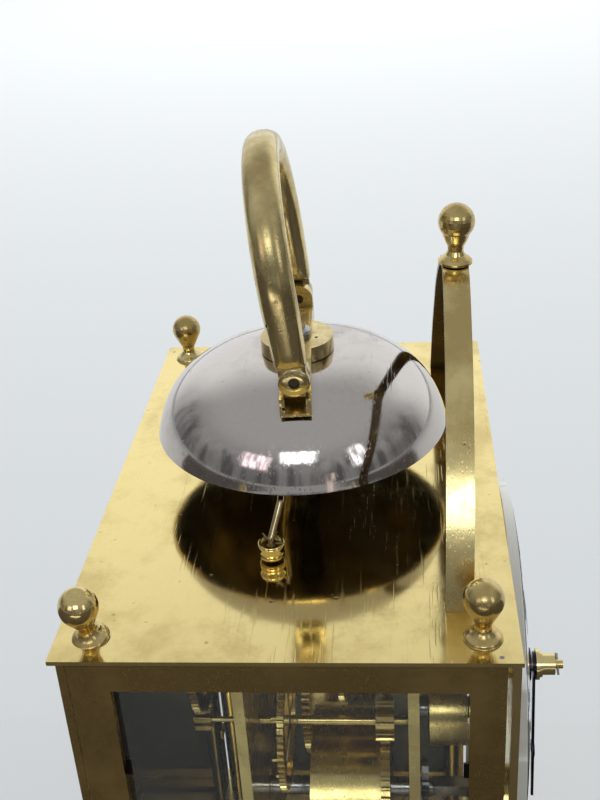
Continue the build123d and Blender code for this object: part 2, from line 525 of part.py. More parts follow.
front_arc = cap_arc(DIAL_R, DIAL_RISE, -DIAL_RIM_FRONT)
back_arc = cap_arc(DIAL_R - DIAL_SKIN, DIAL_RISE - 0.6, -DIAL_RIM_FRONT - 1.2)
rim_end, skin_end = (DIAL_R, 0, -rim_back), (DIAL_R - DIAL_SKIN, 0, -rim_back)
dial_section = make_face([ThreePointArc(*front_arc), Line(front_arc[2], back_arc[2]),
                          ThreePointArc(*back_arc[::-1]), Line(back_arc[0], skin_end),
                          Line(skin_end, rim_end), Line(rim_end, front_arc[0])])
dial = Pos(0, 0, DIAL_Z) * Rot(90, 0, 0) * revolve(dial_section, Axis.Z, 360)
for side in (-1, 1):
    dial -= bar(side * BARREL_AT[0], BARREL_AT[1], DIAL_RIM_FRONT - 10, rim_back, winding_r)
save("dial", dial)
ring_out, ring_in = DIAL_R - 0.8, DIAL_R - 5.0
dial_ring = bar(0, 0, rim_back, FRONT_FACE, ring_out) - bar(0, 0, rim_back, FRONT_FACE, ring_in)
save("dial_ring", dial_ring)

# ================================================================ hands
hour_pipe_r, hour_pipe_bore = 3.1, 2.05
cannon_r, centre_r = 2.0, 1.2


def hand_place(degrees_clockwise, back_y):
    """Place for a hand drawn pointing up in XY; its back face comes to back_y."""
    return Pos(0, back_y, DIAL_Z) * Rot(0, degrees_clockwise, 0) * Rot(90, 0, 0)


def hand(length, boss_r, bore, eye_r, eye_at, square):
    """Pierced hand with a boss, a slim shaft and a ring before its tip."""
    shaft = make_face(Polyline((-1.1, 0), (-0.7, eye_at), (0.7, eye_at), (1.1, 0), close=True))
    tip = make_face(Polyline((-1.3, eye_at), (-0.35, length), (0.35, length), (1.3, eye_at), close=True))
    outline = Circle(boss_r) + shaft + Pos(0, eye_at) * Circle(eye_r) + tip
    outline -= Pos(0, eye_at) * Circle(eye_r - 1.1)
    outline -= Rectangle(2 * bore, 2 * bore) if square else Circle(bore)
    return extrude(outline, amount=HAND_T)


square_half = 1.35
minute_back, hour_back = MINUTE_HAND_Y + HAND_T, HOUR_HAND_Y + HAND_T
minute_hand = hand(MINUTE_LEN, 3.4, square_half, 2.4, 26.0, True)
hour_hand = hand(HOUR_LEN, 4.4, hour_pipe_r - 0.5, 2.9, 17.0, False)
save("minute_hand", hand_place(MINUTE_TURN, minute_back) * minute_hand)
save("hour_hand", hand_place(HOUR_TURN, hour_back) * hour_hand)

collet_back = MINUTE_HAND_Y
collet = bar(0, 0, collet_back - 0.9, collet_back, 4.2)
collet += bar(0, 0, collet_back - 1.7, collet_back - 0.9, 3.5)
collet += bar(0, 0, COLLET_FRONT, collet_back - 1.7, 2.9)
collet -= bar(0, 0, COLLET_FRONT - 1, collet_back, centre_r)
collet = chamfer(collet.edges().filter_by(GeomType.CIRCLE).sort_by(Axis.Y)[0:1], 0.35)
save("hand_collet", collet)

pin_y = COLLET_FRONT - 0.75
centre_arbor = bar(0, 0, ARBOR_FRONT, BACK_PLATE_Y - SHAKE, centre_r)
centre_arbor += bar(0, 0, BACK_PLATE_Y - SHAKE, BACK_FACE - SHAKE, PIVOT_R)
hand_pin = Pos(0, pin_y, DIAL_Z) * Rot(0, MINUTE_TURN + 62.0, 0) * Cone(0.5, 0.32, 6.4)
save("hand_pin", hand_pin)

# ================================================================ motion work behind the dial
cannon_y = (-33.2, -30.0)
hour_y = (-37.4, -35.8)
minute_y = (-33.0, -31.4)
cannon_phase = 0.0
minute_phase = mesh_phase(CANNON_TEETH, cannon_phase, MINUTE_TEETH, *MINUTE_AT)
hour_phase = mesh_phase(MINUTE_PINION, 0.0, HOUR_TEETH, -MINUTE_AT[0], -MINUTE_AT[1])
cannon = upright(pinion_outline(CANNON_TEETH, CANNON_MODULE, cannon_phase), 0, 0, *cannon_y)
cannon += bar(0, 0, minute_back + 0.05, cannon_y[1], cannon_r)
cannon_square = Rot(0, 0, -MINUTE_TURN) * Rectangle(2 * square_half, 2 * square_half)
cannon += upright(cannon_square, 0, 0, collet_back, minute_back + 0.05)
cannon -= centre_arbor
save("cannon_pinion", cannon)
hour_outline = wheel_outline(HOUR_TEETH, HOUR_MODULE, hour_phase, hub=4.6, rim=1.6)
hour_wheel = upright(hour_outline, 0, 0, *hour_y)
hour_wheel += bar(0, 0, hour_back, hour_y[1], hour_pipe_r)
hour_wheel += bar(0, 0, HOUR_HAND_Y, hour_back, hour_pipe_r - 0.5)
hour_wheel -= bar(0, 0, HOUR_HAND_Y - 1, hour_y[1] + 1, hour_pipe_bore)
save("hour_wheel", hour_wheel)
stud_r = 0.9
minute_outline = wheel_outline(MINUTE_TEETH, CANNON_MODULE, minute_phase, hub=4.2, rim=1.6)
minute_wheel = upright(minute_outline, *MINUTE_AT, *minute_y)
minute_wheel += upright(pinion_outline(MINUTE_PINION, HOUR_MODULE), *MINUTE_AT, hour_y[0] - 0.3, minute_y[0])
minute_wheel -= bar(*MINUTE_AT, hour_y[0] - 1, minute_y[1] + 1, stud_r + RUN_GAP)
save("minute_wheel", minute_wheel)
minute_stud = bar(*MINUTE_AT, hour_y[0] - 0.8, FRONT_PLATE_Y, stud_r)
minute_stud += bar(*MINUTE_AT, minute_y[1] + 0.15, FRONT_PLATE_Y, 2.0)
minute_stud += bar(*MINUTE_AT, hour_y[0] - 1.3, hour_y[0] - 0.6, 1.6)

# ================================================================ movement frame
plates = {}
for plate_name, y in (("movement_front_plate", FRONT_PLATE_Y), ("movement_back_plate", BACK_PLATE_Y)):
    plates[plate_name] = block(-PLATE_HALF, PLATE_HALF, y, y + PLATE_T, PLATE_LOW, PLATE_HIGH)
pillars, pillar_pins, dial_posts = [], [], []
pillar_l = BACK_PLATE_Y - INNER_FRONT
swell = turned([(0, 0), (PILLAR_R, 0), (PILLAR_R, 2.0), (2.2, 3.2), (2.6, 18.2), (2.2, 33.2),
                (PILLAR_R, 34.4), (PILLAR_R, pillar_l), (0, pillar_l)])
for x, z in PILLAR_AT:
    pillar = Pos(x, BACK_PLATE_Y, DIAL_Z + z) * Rot(90, 0, 0) * swell
    tenon = bar(x, z, BACK_PLATE_Y, BACK_FACE + 3.0, TENON_R)
    rivet = bar(x, z, FRONT_PLATE_Y, INNER_FRONT, TENON_R)
    pin = Pos(x, BACK_FACE + 0.75, DIAL_Z + z) * Rot(0, 20, 0) * Cone(0.6, 0.4, 9.0)
    pillars.append(pillar + tenon + rivet - pin)
    pillar_pins.append(pin)
    dial_posts.append(bar(x, z, FRONT_BACK, FRONT_PLATE_Y, DIAL_POST_R))
    plates["movement_front_plate"] -= rivet
    plates["movement_back_plate"] -= tenon
save("pillars", *pillars, *dial_posts)
save("pillar_pins", *pillar_pins)


def pivot_holes(x, z, front_r, back_r):
    """Drill one arbor's holes in the two plates. A radius of 0 leaves a plate whole."""
    if front_r:
        plates["movement_front_plate"] -= bar(x, z, FRONT_PLATE_Y - 1, INNER_FRONT + 1, front_r + RUN_GAP)
    if back_r:
        plates["movement_back_plate"] -= bar(x, z, BACK_PLATE_Y - 1, BACK_FACE + 1, back_r + RUN_GAP)


# ================================================================ barrels and winding
SQUARE = 3.6
WIND_R, WIND_FRONT = 2.4, -54.5
RATCHET_TEETH, RATCHET_R, RATCHET_Y = 20, 7.0, (-29.4, -27.6)


def ratchet_outline():
    """Saw teeth, steep on one side."""
    points = []
    for tooth in range(RATCHET_TEETH):
        start = 2 * math.pi * tooth / RATCHET_TEETH
        end = 2 * math.pi * (tooth + 0.92) / RATCHET_TEETH
        points.append((RATCHET_R * math.cos(start), RATCHET_R * math.sin(start)))
        points.append(((RATCHET_R - 1.3) * math.cos(end), (RATCHET_R - 1.3) * math.sin(end)))
    return make_face(Polyline(*points, close=True))


square_back = FRONT_PLATE_Y - 3.4            # where a winding arbor's square ends
drum_wall = 1.2
clicks = []
barrel_plan = (("going", 1, (3.2, 5.4), (-14.0, 3.2)), ("strike", -1, (-19.8, -17.6), (-17.6, 0.0)))
for name, side, gear_y, drum_y in barrel_plan:
    x, z = side * BARREL_AT[0], BARREL_AT[1]
    phase = mesh_phase(BIG_PINION, 0.0, GREAT_TEETH, x, z) if side > 0 else 0.0
    low, high = min(gear_y[0], drum_y[0]), max(gear_y[1], drum_y[1])
    barrel = upright(toothed(GREAT_TEETH, GREAT_MODULE, phase, WHEEL_TIP, WHEEL_THICK), x, z, *gear_y)
    barrel += bar(x, z, *drum_y, BARREL_R)
    barrel -= bar(x, z, drum_y[0] + drum_wall, drum_y[1] - drum_wall, BARREL_R - drum_wall)
    barrel -= bar(x, z, low - 1, high + 1, WIND_R + RUN_GAP)
    save(f"{name}_barrel", barrel)
    wind = bar(x, z, square_back, BACK_FACE - 0.4, WIND_R)
    wind += upright(Rectangle(SQUARE, SQUARE), x, z, WIND_FRONT, square_back)
    ratchet = upright(ratchet_outline(), x, z, *RATCHET_Y)
    ratchet -= bar(x, z, RATCHET_Y[0] - 1, RATCHET_Y[1] + 1, WIND_R)
    save(f"{name}_winding_arbor", wind + ratchet)
    pivot_holes(x, z, WIND_R, WIND_R)
    click = Polyline((0, 1.6), (-5.6, 0.9), (-6.4, -0.2), (0, -1.6), close=True)
    click_x, click_z = x + side * 13.6, z - 4.0
    click_face = make_face(click) + Circle(1.8)
    click_face = click_face if side > 0 else mirror(click_face, Plane.YZ)
    click_stud = bar(click_x, click_z, FRONT_PLATE_Y - 3.0, FRONT_PLATE_Y, 1.0)
    clicks.append(upright(click_face, click_x, click_z, *RATCHET_Y) + click_stud)

# ================================================================ going train
centre_wheel = upright(wheel_outline(CENTRE_TEETH, FINE_MODULE), 0, 0, 8.0, 9.4)
centre_wheel += upright(pinion_outline(BIG_PINION, GREAT_MODULE), 0, 0, 2.4, 8.0)
save("centre_wheel", centre_wheel + centre_arbor - hand_pin)
pivot_holes(0, 0, centre_r, PIVOT_R)


def train_wheel(name, place, wheel, wheel_y, pinion, pinion_y):
    """One arbor with its wheel (teeth, module; its phase is 0) and pinion (teeth, module, phase)."""
    solid = arbor(*place, INNER_FRONT + SHAKE, BACK_PLATE_Y - SHAKE)
    solid += upright(wheel_outline(*wheel, hub=2.6, rim=1.8), *place, *wheel_y)
    solid += upright(pinion_outline(*pinion), *place, *pinion_y)
    pivot_holes(*place, PIVOT_R, PIVOT_R)
    save(name, solid)


def from_to(start, end):
    """Step in x and z from one arbor to another."""
    return end[0] - start[0], end[1] - start[1]


centre = (0.0, 0.0)
third_phase = mesh_phase(CENTRE_TEETH, 0.0, THIRD_PINION, *from_to(centre, THIRD_AT))
train_wheel("third_wheel", THIRD_AT, (THIRD_TEETH, FINE_MODULE), (-9.0, -7.8),
            (THIRD_PINION, FINE_MODULE, third_phase), (7.2, 10.2))
escape_phase = mesh_phase(THIRD_TEETH, 0.0, ESCAPE_PINION, *from_to(THIRD_AT, ESCAPE_AT))
escape_points = []
escape_root = ESCAPE_R - 1.5
for tooth in range(ESCAPE_TEETH):
    for turn_part, radius in ((0.0, ESCAPE_R), (0.12, ESCAPE_R), (0.42, escape_root), (0.86, escape_root)):
        angle = 2 * math.pi * (tooth + turn_part) / ESCAPE_TEETH
        escape_points.append((radius * math.cos(angle), radius * math.sin(angle)))
escape_face = make_face(Polyline(*escape_points, close=True))
escape_rim, escape_hub, escape_spoke = ESCAPE_R - 2.8, 2.4, 1.4
escape_spokes = Rectangle(3 * ESCAPE_R, escape_spoke) + Rectangle(escape_spoke, 3 * ESCAPE_R)
escape_face -= (Circle(escape_rim) - Circle(escape_hub)) - escape_spokes
escape = arbor(*ESCAPE_AT, INNER_FRONT + SHAKE, BACK_PLATE_Y - SHAKE, SLIM_R)
escape += upright(escape_face, *ESCAPE_AT, 4.0, 5.0)
escape += upright(pinion_outline(ESCAPE_PINION, FINE_MODULE, escape_phase), *ESCAPE_AT, -9.8, -7.0)
pivot_holes(*ESCAPE_AT, PIVOT_R, PIVOT_R)
save("escape_wheel", escape)

# ================================================================ anchor and pendulum
drop = ANCHOR_UP - ESCAPE_AT[1]
pallet_gap = 0.75
anchor_half = [(2.0, 1.6), (8.6, -5.4), (8.9, -8.6), (7.6, -8.2), (6.6, -5.8), (1.4, -1.8)]
anchor_mirror = [(-x, z) for x, z in reversed(anchor_half)]
anchor_face = make_face(Polyline(*anchor_half, *anchor_mirror, close=True))
anchor_face -= Pos(0, -drop) * Circle(ESCAPE_R + pallet_gap)
anchor = upright(anchor_face, 0, ANCHOR_UP, 3.6, 5.4)
anchor += bar(0, ANCHOR_UP, INNER_FRONT + SHAKE, 18.4, ARBOR_R)
anchor += bar(0, ANCHOR_UP, FRONT_PLATE_Y + SHAKE, INNER_FRONT + SHAKE, PIVOT_R)
pivot_holes(0, ANCHOR_UP, PIVOT_R, ARBOR_R)
crutch_l = 30.0
crutch_face = make_face(Polyline((-1.6, 2.0), (1.6, 2.0), (0.9, -crutch_l), (-0.9, -crutch_l), close=True))
crutch = upright(crutch_face, 0, ANCHOR_UP, 16.6, 17.8)
crutch -= bar(0, ANCHOR_UP, 16.0, 18.5, ARBOR_R)
fork_z = DIAL_Z + ANCHOR_UP - crutch_l + 1.0
fork = block(-3.0, 3.0, 17.8, 22.4, fork_z - 0.8, fork_z + 0.8)
fork -= block(-1.1, 1.1, 18.6, 22.4, fork_z - 1, fork_z + 1)
save("pallet_anchor", anchor + crutch + fork)
ROD_R = 0.8
bob_z = DIAL_Z + ANCHOR_UP - BOB_DROP
rod = post(0, PENDULUM_Y, bob_z - BOB_R - 6.0, DIAL_Z + ANCHOR_UP - 4.0, ROD_R)
rod += Pos(0, PENDULUM_Y, DIAL_Z + ANCHOR_UP - 3.2) * Rot(0, 90, 0) * Torus(1.4, 0.5)
save("pendulum_rod", rod)
lens_r = (BOB_R ** 2 + (BOB_T / 2) ** 2) / BOB_T
lens = (Pos(0, 0, lens_r - BOB_T / 2) * Sphere(lens_r)) & (Pos(0, 0, BOB_T / 2 - lens_r) * Sphere(lens_r))
bob = Pos(0, PENDULUM_Y, bob_z) * Rot(90, 0, 0) * lens - post(0, PENDULUM_Y, bob_z - 20, bob_z + 20, ROD_R)
save("pendulum_bob", bob)
rating_z = bob_z - BOB_R - 2.2
rating_nut = post(0, PENDULUM_Y, rating_z, rating_z + 2.0, 2.6)
save("rating_nut", rating_nut - post(0, PENDULUM_Y, rating_z - 1, rating_z + 3, ROD_R))
cock_z = DIAL_Z + ANCHOR_UP + 3.6
cock = block(-6.0, 6.0, BACK_FACE, BACK_FACE + 1.6, cock_z - 0.6, cock_z + 4.4)
cock += block(-2.6, 2.6, BACK_FACE, 22.6, cock_z, cock_z + 2.0)
strip_half, strip_t = 0.9, 0.1
suspension = block(-strip_half, strip_half, PENDULUM_Y - strip_t, PENDULUM_Y + strip_t,
                   DIAL_Z + ANCHOR_UP - 1.1, cock_z)
save("suspension", cock + suspension)

# ================================================================ strike train
pin_phase = mesh_phase(GREAT_TEETH, 0.0, BIG_PINION, *from_to((-BARREL_AT[0], BARREL_AT[1]), PIN_AT))
pin_wheel = arbor(*PIN_AT, INNER_FRONT + SHAKE, BACK_PLATE_Y - SHAKE)
pin_wheel += bar(*PIN_AT, BACK_PLATE_Y - SHAKE, BACK_FACE + 14.0, PIVOT_R)
pin_wheel += upright(wheel_outline(PIN_TEETH, PIN_MODULE, 0.0, hub=2.8, rim=2.6), *PIN_AT, 4.5, 6.0)
pin_wheel += upright(pinion_outline(BIG_PINION, GREAT_MODULE, pin_phase), *PIN_AT, -21.0, -16.6)
LIFT_PINS, LIFT_R, LIFT_PIN_R = 8, 13.2, 0.5
for k in range(LIFT_PINS):
    angle = 2 * math.pi * k / LIFT_PINS
    pin_x, pin_z = PIN_AT[0] + LIFT_R * math.cos(angle), PIN_AT[1] + LIFT_R * math.sin(angle)
    pin_wheel += bar(pin_x, pin_z, 5.5, 7.6, LIFT_PIN_R)
COUNT_CD = (COUNT_TEETH + COUNT_PINION) * COUNT_MODULE / 2
COUNT_DX = 10.0
COUNT_AT = (PIN_AT[0] + COUNT_DX, PIN_AT[1] + math.sqrt(COUNT_CD ** 2 - COUNT_DX ** 2))
count_pinion_phase = 0.0
pin_wheel += upright(pinion_outline(COUNT_PINION, COUNT_MODULE, count_pinion_phase), *PIN_AT, 24.0, 28.0)
pivot_holes(*PIN_AT, PIVOT_R, PIVOT_R)
save("pin_wheel", pin_wheel)
lock_phase = mesh_phase(PIN_TEETH, 0.0, LOCK_PINION, *from_to(PIN_AT, LOCK_AT))
train_wheel("locking_wheel", LOCK_AT, (LOCK_TEETH, LOCK_MODULE), (-9.0, -7.6),
            (LOCK_PINION, PIN_MODULE, lock_phase), (3.8, 6.8))
warn_phase = mesh_phase(LOCK_TEETH, 0.0, WARN_PINION, *from_to(LOCK_AT, WARN_AT))
train_wheel("warning_wheel", WARN_AT, (WARN_TEETH, WARN_MODULE), (-3.0, -1.8),
            (WARN_PINION, LOCK_MODULE, warn_phase), (-9.8, -6.8))
fly_phase = mesh_phase(WARN_TEETH, 0.0, FLY_PINION, *from_to(WARN_AT, FLY_AT))
fly = arbor(*FLY_AT, INNER_FRONT + SHAKE, BACK_PLATE_Y - SHAKE, SLIM_R)
fly += upright(pinion_outline(FLY_PINION, WARN_MODULE, fly_phase), *FLY_AT, -3.8, -1.0)
fly += upright(Rot(0, 0, 25) * Rectangle(14.4, 0.6), *FLY_AT, -17.0, -11.0)
pivot_holes(*FLY_AT, PIVOT_R, PIVOT_R)
save("fly", fly)
count_phase = mesh_phase(COUNT_PINION, count_pinion_phase, COUNT_TEETH, *from_to(PIN_AT, COUNT_AT))
count_outline = wheel_outline(COUNT_TEETH, COUNT_MODULE, count_phase, rim=3.4)
count_wheel = upright(count_outline, *COUNT_AT, 25.0, 26.6)
count_wheel += bar(*COUNT_AT, 22.0, 27.4, 2.6)
count_stud_r = 1.2
count_wheel -= bar(*COUNT_AT, 20.0, 30.0, count_stud_r + RUN_GAP)
save("count_wheel", count_wheel)
count_stud = bar(*COUNT_AT, BACK_FACE, 21.8, 2.4)
count_stud += bar(*COUNT_AT, 21.8, 28.4, count_stud_r)
count_stud += bar(*COUNT_AT, 27.6, 28.4, 2.0)

# ================================================================ alarm barrel in front of the movement
alarm_front, alarm_back, alarm_wall, alarm_stud_r, alarm_collar_r = -38.5, -29.5, 1.0, 1.6, 2.6
alarm = bar(*ALARM_AT, alarm_front, alarm_back, ALARM_R)
alarm -= bar(*ALARM_AT, alarm_front + alarm_wall, alarm_back - alarm_wall, ALARM_R - 0.9)
alarm -= bar(*ALARM_AT, alarm_front - 1.5, alarm_back + 1.5, alarm_stud_r + RUN_GAP)
save("alarm_barrel", alarm)
alarm_stud = bar(*ALARM_AT, alarm_front - 1.9, FRONT_PLATE_Y, alarm_stud_r)
alarm_stud += bar(*ALARM_AT, alarm_back + SHAKE, FRONT_PLATE_Y, alarm_collar_r)
alarm_stud += bar(*ALARM_AT, alarm_front - 1.9, alarm_front - SHAKE, alarm_collar_r)
save("plate_studs", minute_stud, count_stud, alarm_stud, *clicks)

pivot_holes(*HAMMER_AT, PIVOT_R, PIVOT_R)
for plate_name, plate in plates.items():
    save(plate_name, plate)
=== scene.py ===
"""Looks of a brass travelling clock with a bell, an arch and a carrying handle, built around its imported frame."""
import bpy
import bmesh
import math
from mathutils import Euler, Matrix, Vector


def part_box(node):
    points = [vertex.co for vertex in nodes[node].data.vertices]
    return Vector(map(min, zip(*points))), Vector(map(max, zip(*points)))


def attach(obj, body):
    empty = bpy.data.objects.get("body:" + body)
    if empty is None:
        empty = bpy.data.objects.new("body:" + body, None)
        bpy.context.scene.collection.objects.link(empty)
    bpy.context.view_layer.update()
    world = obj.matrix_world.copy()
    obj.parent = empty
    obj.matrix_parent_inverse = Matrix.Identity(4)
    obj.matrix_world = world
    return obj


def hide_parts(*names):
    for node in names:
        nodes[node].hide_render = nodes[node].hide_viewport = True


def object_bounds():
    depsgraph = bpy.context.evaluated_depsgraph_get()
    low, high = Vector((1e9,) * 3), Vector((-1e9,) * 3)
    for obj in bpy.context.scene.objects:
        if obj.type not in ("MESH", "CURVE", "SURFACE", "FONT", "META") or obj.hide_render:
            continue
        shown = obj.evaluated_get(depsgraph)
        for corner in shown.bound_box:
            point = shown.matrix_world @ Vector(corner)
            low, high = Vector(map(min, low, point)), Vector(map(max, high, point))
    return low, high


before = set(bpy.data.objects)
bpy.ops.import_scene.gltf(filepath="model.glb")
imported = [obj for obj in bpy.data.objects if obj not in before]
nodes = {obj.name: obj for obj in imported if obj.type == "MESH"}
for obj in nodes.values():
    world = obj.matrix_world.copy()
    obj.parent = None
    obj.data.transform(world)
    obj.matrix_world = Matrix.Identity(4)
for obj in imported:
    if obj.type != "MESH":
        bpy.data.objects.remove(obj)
cad_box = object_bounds()
mm = 0.001


# ---- Brass --------------------------------------------------------------------------------------
# All of the case is sheet and turned brass, polished long ago. It has dulled to an olive gold,
# with brown tarnish in clouds and specks, fine hairlines from rags, and pits; its brighter rubbed corners are not
# drawn.
def add(tree, kind, settings=None, **inputs):
    """One shader node. Inputs take a value or another node's output; _ in a name is a space."""
    made = tree.nodes.new(kind)
    for key, value in (settings or {}).items():
        setattr(made, key, value)
    for key, value in inputs.items():
        feed(tree, made.inputs[key.replace("_", " ")], value)
    return made


def feed(tree, socket, value):
    """Links another node's output to a socket, or sets its value."""
    if isinstance(value, bpy.types.NodeSocket):
        tree.links.new(value, socket)
    else:
        socket.default_value = value


def sums(tree, operation, a, b=0.0, clamp=False):
    """Math node's result."""
    made = tree.nodes.new("ShaderNodeMath")
    made.operation, made.use_clamp = operation, clamp
    for socket, value in zip(made.inputs, (a, b)):
        feed(tree, socket, value)
    return made.outputs[0]


def blend_colour(tree, amount, a, b):
    """Colour that goes from a to b as amount goes from 0 to 1."""
    made = tree.nodes.new("ShaderNodeMix")
    made.data_type = "RGBA"
    feed(tree, made.inputs[0], amount)
    feed(tree, made.inputs[6], a)
    feed(tree, made.inputs[7], b)
    return made.outputs[2]


def steps(tree, value, low, high, to_low=0.0, to_high=1.0):
    """Value eased from to_low at low to to_high at high."""
    made = add(tree, "ShaderNodeMapRange", {"interpolation_type": "SMOOTHSTEP"})
    for socket, number in zip(made.inputs, (value, low, high, to_low, to_high)):
        feed(tree, socket, number)
    return made.outputs[0]


def new_group(name, inputs, outputs):
    """Empty shader group with named sockets; gives the tree, its inputs and its output node."""
    tree = bpy.data.node_groups.new(name, "ShaderNodeTree")
    for label, kind, value in inputs:
        socket = tree.interface.new_socket(label, in_out="INPUT", socket_type="NodeSocket" + kind)
        if value is not None:
            socket.default_value = value
    for label, kind in outputs:
        tree.interface.new_socket(label, in_out="OUTPUT", socket_type="NodeSocket" + kind)
    return tree, tree.nodes.new("NodeGroupInput").outputs, tree.nodes.new("NodeGroupOutput")


def rgb(r, g, b):
    """Opaque colour."""
    return (r, g, b, 1.0)


def worn_metal_group():
    """Colour, roughness and relief of metal with clouds of tarnish, hairlines, pits, and darkening in its corners and
    hollows where the ambient occlusion node finds nearby surfaces.
    """
    tree, take, out = new_group(
        "worn metal",
        [("Polished", "Color", rgb(0.8, 0.6, 0.3)), ("Dull", "Color", rgb(0.5, 0.36, 0.15)),
         ("Dirt", "Color", rgb(0.05, 0.035, 0.015)), ("Tarnish", "Float", 0.5), ("Pits", "Float", 0.3),
         ("Scratches", "Float", 0.5), ("Smooth", "Float", 0.15), ("Rough", "Float", 0.4), ("Grain", "Float", 1.0)],
        [("Color", "Color"), ("Roughness", "Float"), ("Height", "Float")])
    here = add(tree, "ShaderNodeTexCoord").outputs["Object"]
    spot = add(tree, "ShaderNodeVectorMath", {"operation": "SCALE"}, Vector=here)
    feed(tree, spot.inputs["Scale"], take["Grain"])
    spot = spot.outputs[0]
    clouds = add(tree, "ShaderNodeTexNoise", Vector=spot, Scale=38.0, Detail=6.0, Roughness=0.62).outputs["Fac"]
    streaks = add(tree, "ShaderNodeTexNoise", Vector=spot, Scale=150.0, Detail=5.0, Roughness=0.7).outputs["Fac"]
    specks = add(tree, "ShaderNodeTexNoise", Vector=spot, Scale=900.0, Detail=3.0, Roughness=0.6).outputs["Fac"]
    patch = sums(tree, "ADD", sums(tree, "MULTIPLY", clouds, 0.65), sums(tree, "MULTIPLY", streaks, 0.35))
    level = sums(tree, "SUBTRACT", 0.66, sums(tree, "MULTIPLY", take["Tarnish"], 0.28))
    dull = steps(tree, patch, sums(tree, "SUBTRACT", level, 0.1), sums(tree, "ADD", level, 0.12))
    # hairlines: thin rings of far stretched noise, in three directions
    lines = None
    for turn, seed in ((0.3, 1.7), (1.25, 5.1), (2.2, 9.4)):
        turned = add(tree, "ShaderNodeMapping", Vector=spot, Rotation=(0.2, 0.3, turn), Scale=(60.0, 1700.0, 900.0),
                     Location=(seed, seed * 2, seed * 3))
        noise = add(tree, "ShaderNodeTexNoise", Vector=turned.outputs[0], Scale=1.0, Detail=1.0).outputs["Fac"]
        thin = steps(tree, noise, 0.66, 0.74)
        lines = thin if lines is None else sums(tree, "MAXIMUM", lines, thin)
    lines = sums(tree, "MULTIPLY", lines, take["Scratches"])
    cells = add(tree, "ShaderNodeTexVoronoi", {"feature": "F1"}, Vector=spot, Scale=330.0, Randomness=1.0)
    few = add(tree, "ShaderNodeTexNoise", Vector=spot, Scale=240.0, Detail=2.0).outputs["Fac"]
    pits = sums(tree, "MULTIPLY", steps(tree, cells.outputs["Distance"], 0.2, 0.1), steps(tree, few, 0.56, 0.66))
    pits = sums(tree, "MULTIPLY", pits, take["Pits"], clamp=True)
    # Corners and hollows with a surface within 4 mm are darkened towards the recess colour, by an amount that follows
    # the tarnish. Pits take the same colour.
    hollow = add(tree, "ShaderNodeAmbientOcclusion", {"samples": 4}, Distance=0.004).outputs["AO"]
    occlusion_darkening = sums(tree, "MULTIPLY", take["Tarnish"], 0.9)
    occlusion_darkening = sums(tree, "MULTIPLY", steps(tree, hollow, 0.75, 0.25), occlusion_darkening, clamp=True)
    dark = sums(tree, "MAXIMUM", pits, occlusion_darkening)
    tint = blend_colour(tree, dull, take["Polished"], take["Dull"])
    tint = blend_colour(tree, sums(tree, "MULTIPLY", specks, 0.22), tint, take["Dull"])
    tint = blend_colour(tree, dark, tint, take["Dirt"])
    gloss = steps(tree, patch, 0.3, 0.75, 0.0, 1.0)
    gloss = sums(tree, "ADD", sums(tree, "MULTIPLY", gloss, 0.5), sums(tree, "MULTIPLY", dull, 0.5))
    gloss = steps(tree, gloss, 0.0, 1.0, take["Smooth"], take["Rough"])
    gloss = sums(tree, "ADD", gloss, sums(tree, "MULTIPLY", lines, 0.16))
    gloss = sums(tree, "ADD", gloss, sums(tree, "MULTIPLY", dark, 0.3), clamp=True)
    height = sums(tree, "MULTIPLY", streaks, 0.25)
    height = sums(tree, "SUBTRACT", height, sums(tree, "MULTIPLY", lines, 0.25))
    height = sums(tree, "SUBTRACT", height, sums(tree, "MULTIPLY", pits, 1.2))
    feed(tree, out.inputs["Color"], tint)
    feed(tree, out.inputs["Roughness"], gloss)
    feed(tree, out.inputs["Height"], height)
    return tree


worn_metal = worn_metal_group()


def metal(name, bump=0.00004, **values):
    """Metal material that wears as the worn metal group says."""
    made = bpy.data.materials.new(name)
    made.use_nodes = True
    tree = made.node_tree
    shader = tree.nodes["Principled BSDF"]
    wear = tree.nodes.new("ShaderNodeGroup")
    wear.node_tree = worn_metal
    for key, value in values.items():
        wear.inputs[key].default_value = value
    shader.inputs["Metallic"].default_value = 1.0
    feed(tree, shader.inputs["Base Color"], wear.outputs["Color"])
    feed(tree, shader.inputs["Roughness"], wear.outputs["Roughness"])
    relief = add(tree, "ShaderNodeBump", Strength=1.0, Distance=bump, Height=wear.outputs["Height"])
    feed(tree, shader.inputs["Normal"], relief.outputs[0])
    return made


case_brass = metal("case brass", Polished=rgb(0.9, 0.735, 0.34), Dull=rgb(0.74, 0.575, 0.245),
                   Dirt=rgb(0.07, 0.045, 0.02), Tarnish=0.5, Pits=0.3, Scratches=0.55, Smooth=0.09, Rough=0.24)


def dress(name, finish, edge=0.0):
    """Gives a kept node its finish; edge is the width of the rounding along its sharp edges."""
    made = nodes[name]
    made.data.materials.clear()
    made.data.materials.append(finish)
    if edge:
        soft = made.modifiers.new("rounded edges", "BEVEL")
        soft.width, soft.segments, soft.limit_method, soft.angle_limit = edge, 2, "ANGLE", math.radians(40)
        soft.harden_normals = False
    return made


def piece(name, mesh, finish, body, slot, *stands_for, sharp=35):
    """New mesh object that rides on a body and stands for some nodes."""
    mesh.materials.append(finish)
    for face in mesh.polygons:
        face.use_smooth = True
    mesh.set_sharp_from_angle(angle=math.radians(sharp))
    made = bpy.data.objects.new(name, mesh)
    bpy.context.scene.collection.objects.link(made)
    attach(made, body)
    if stands_for:
        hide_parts(*stands_for)
    return made


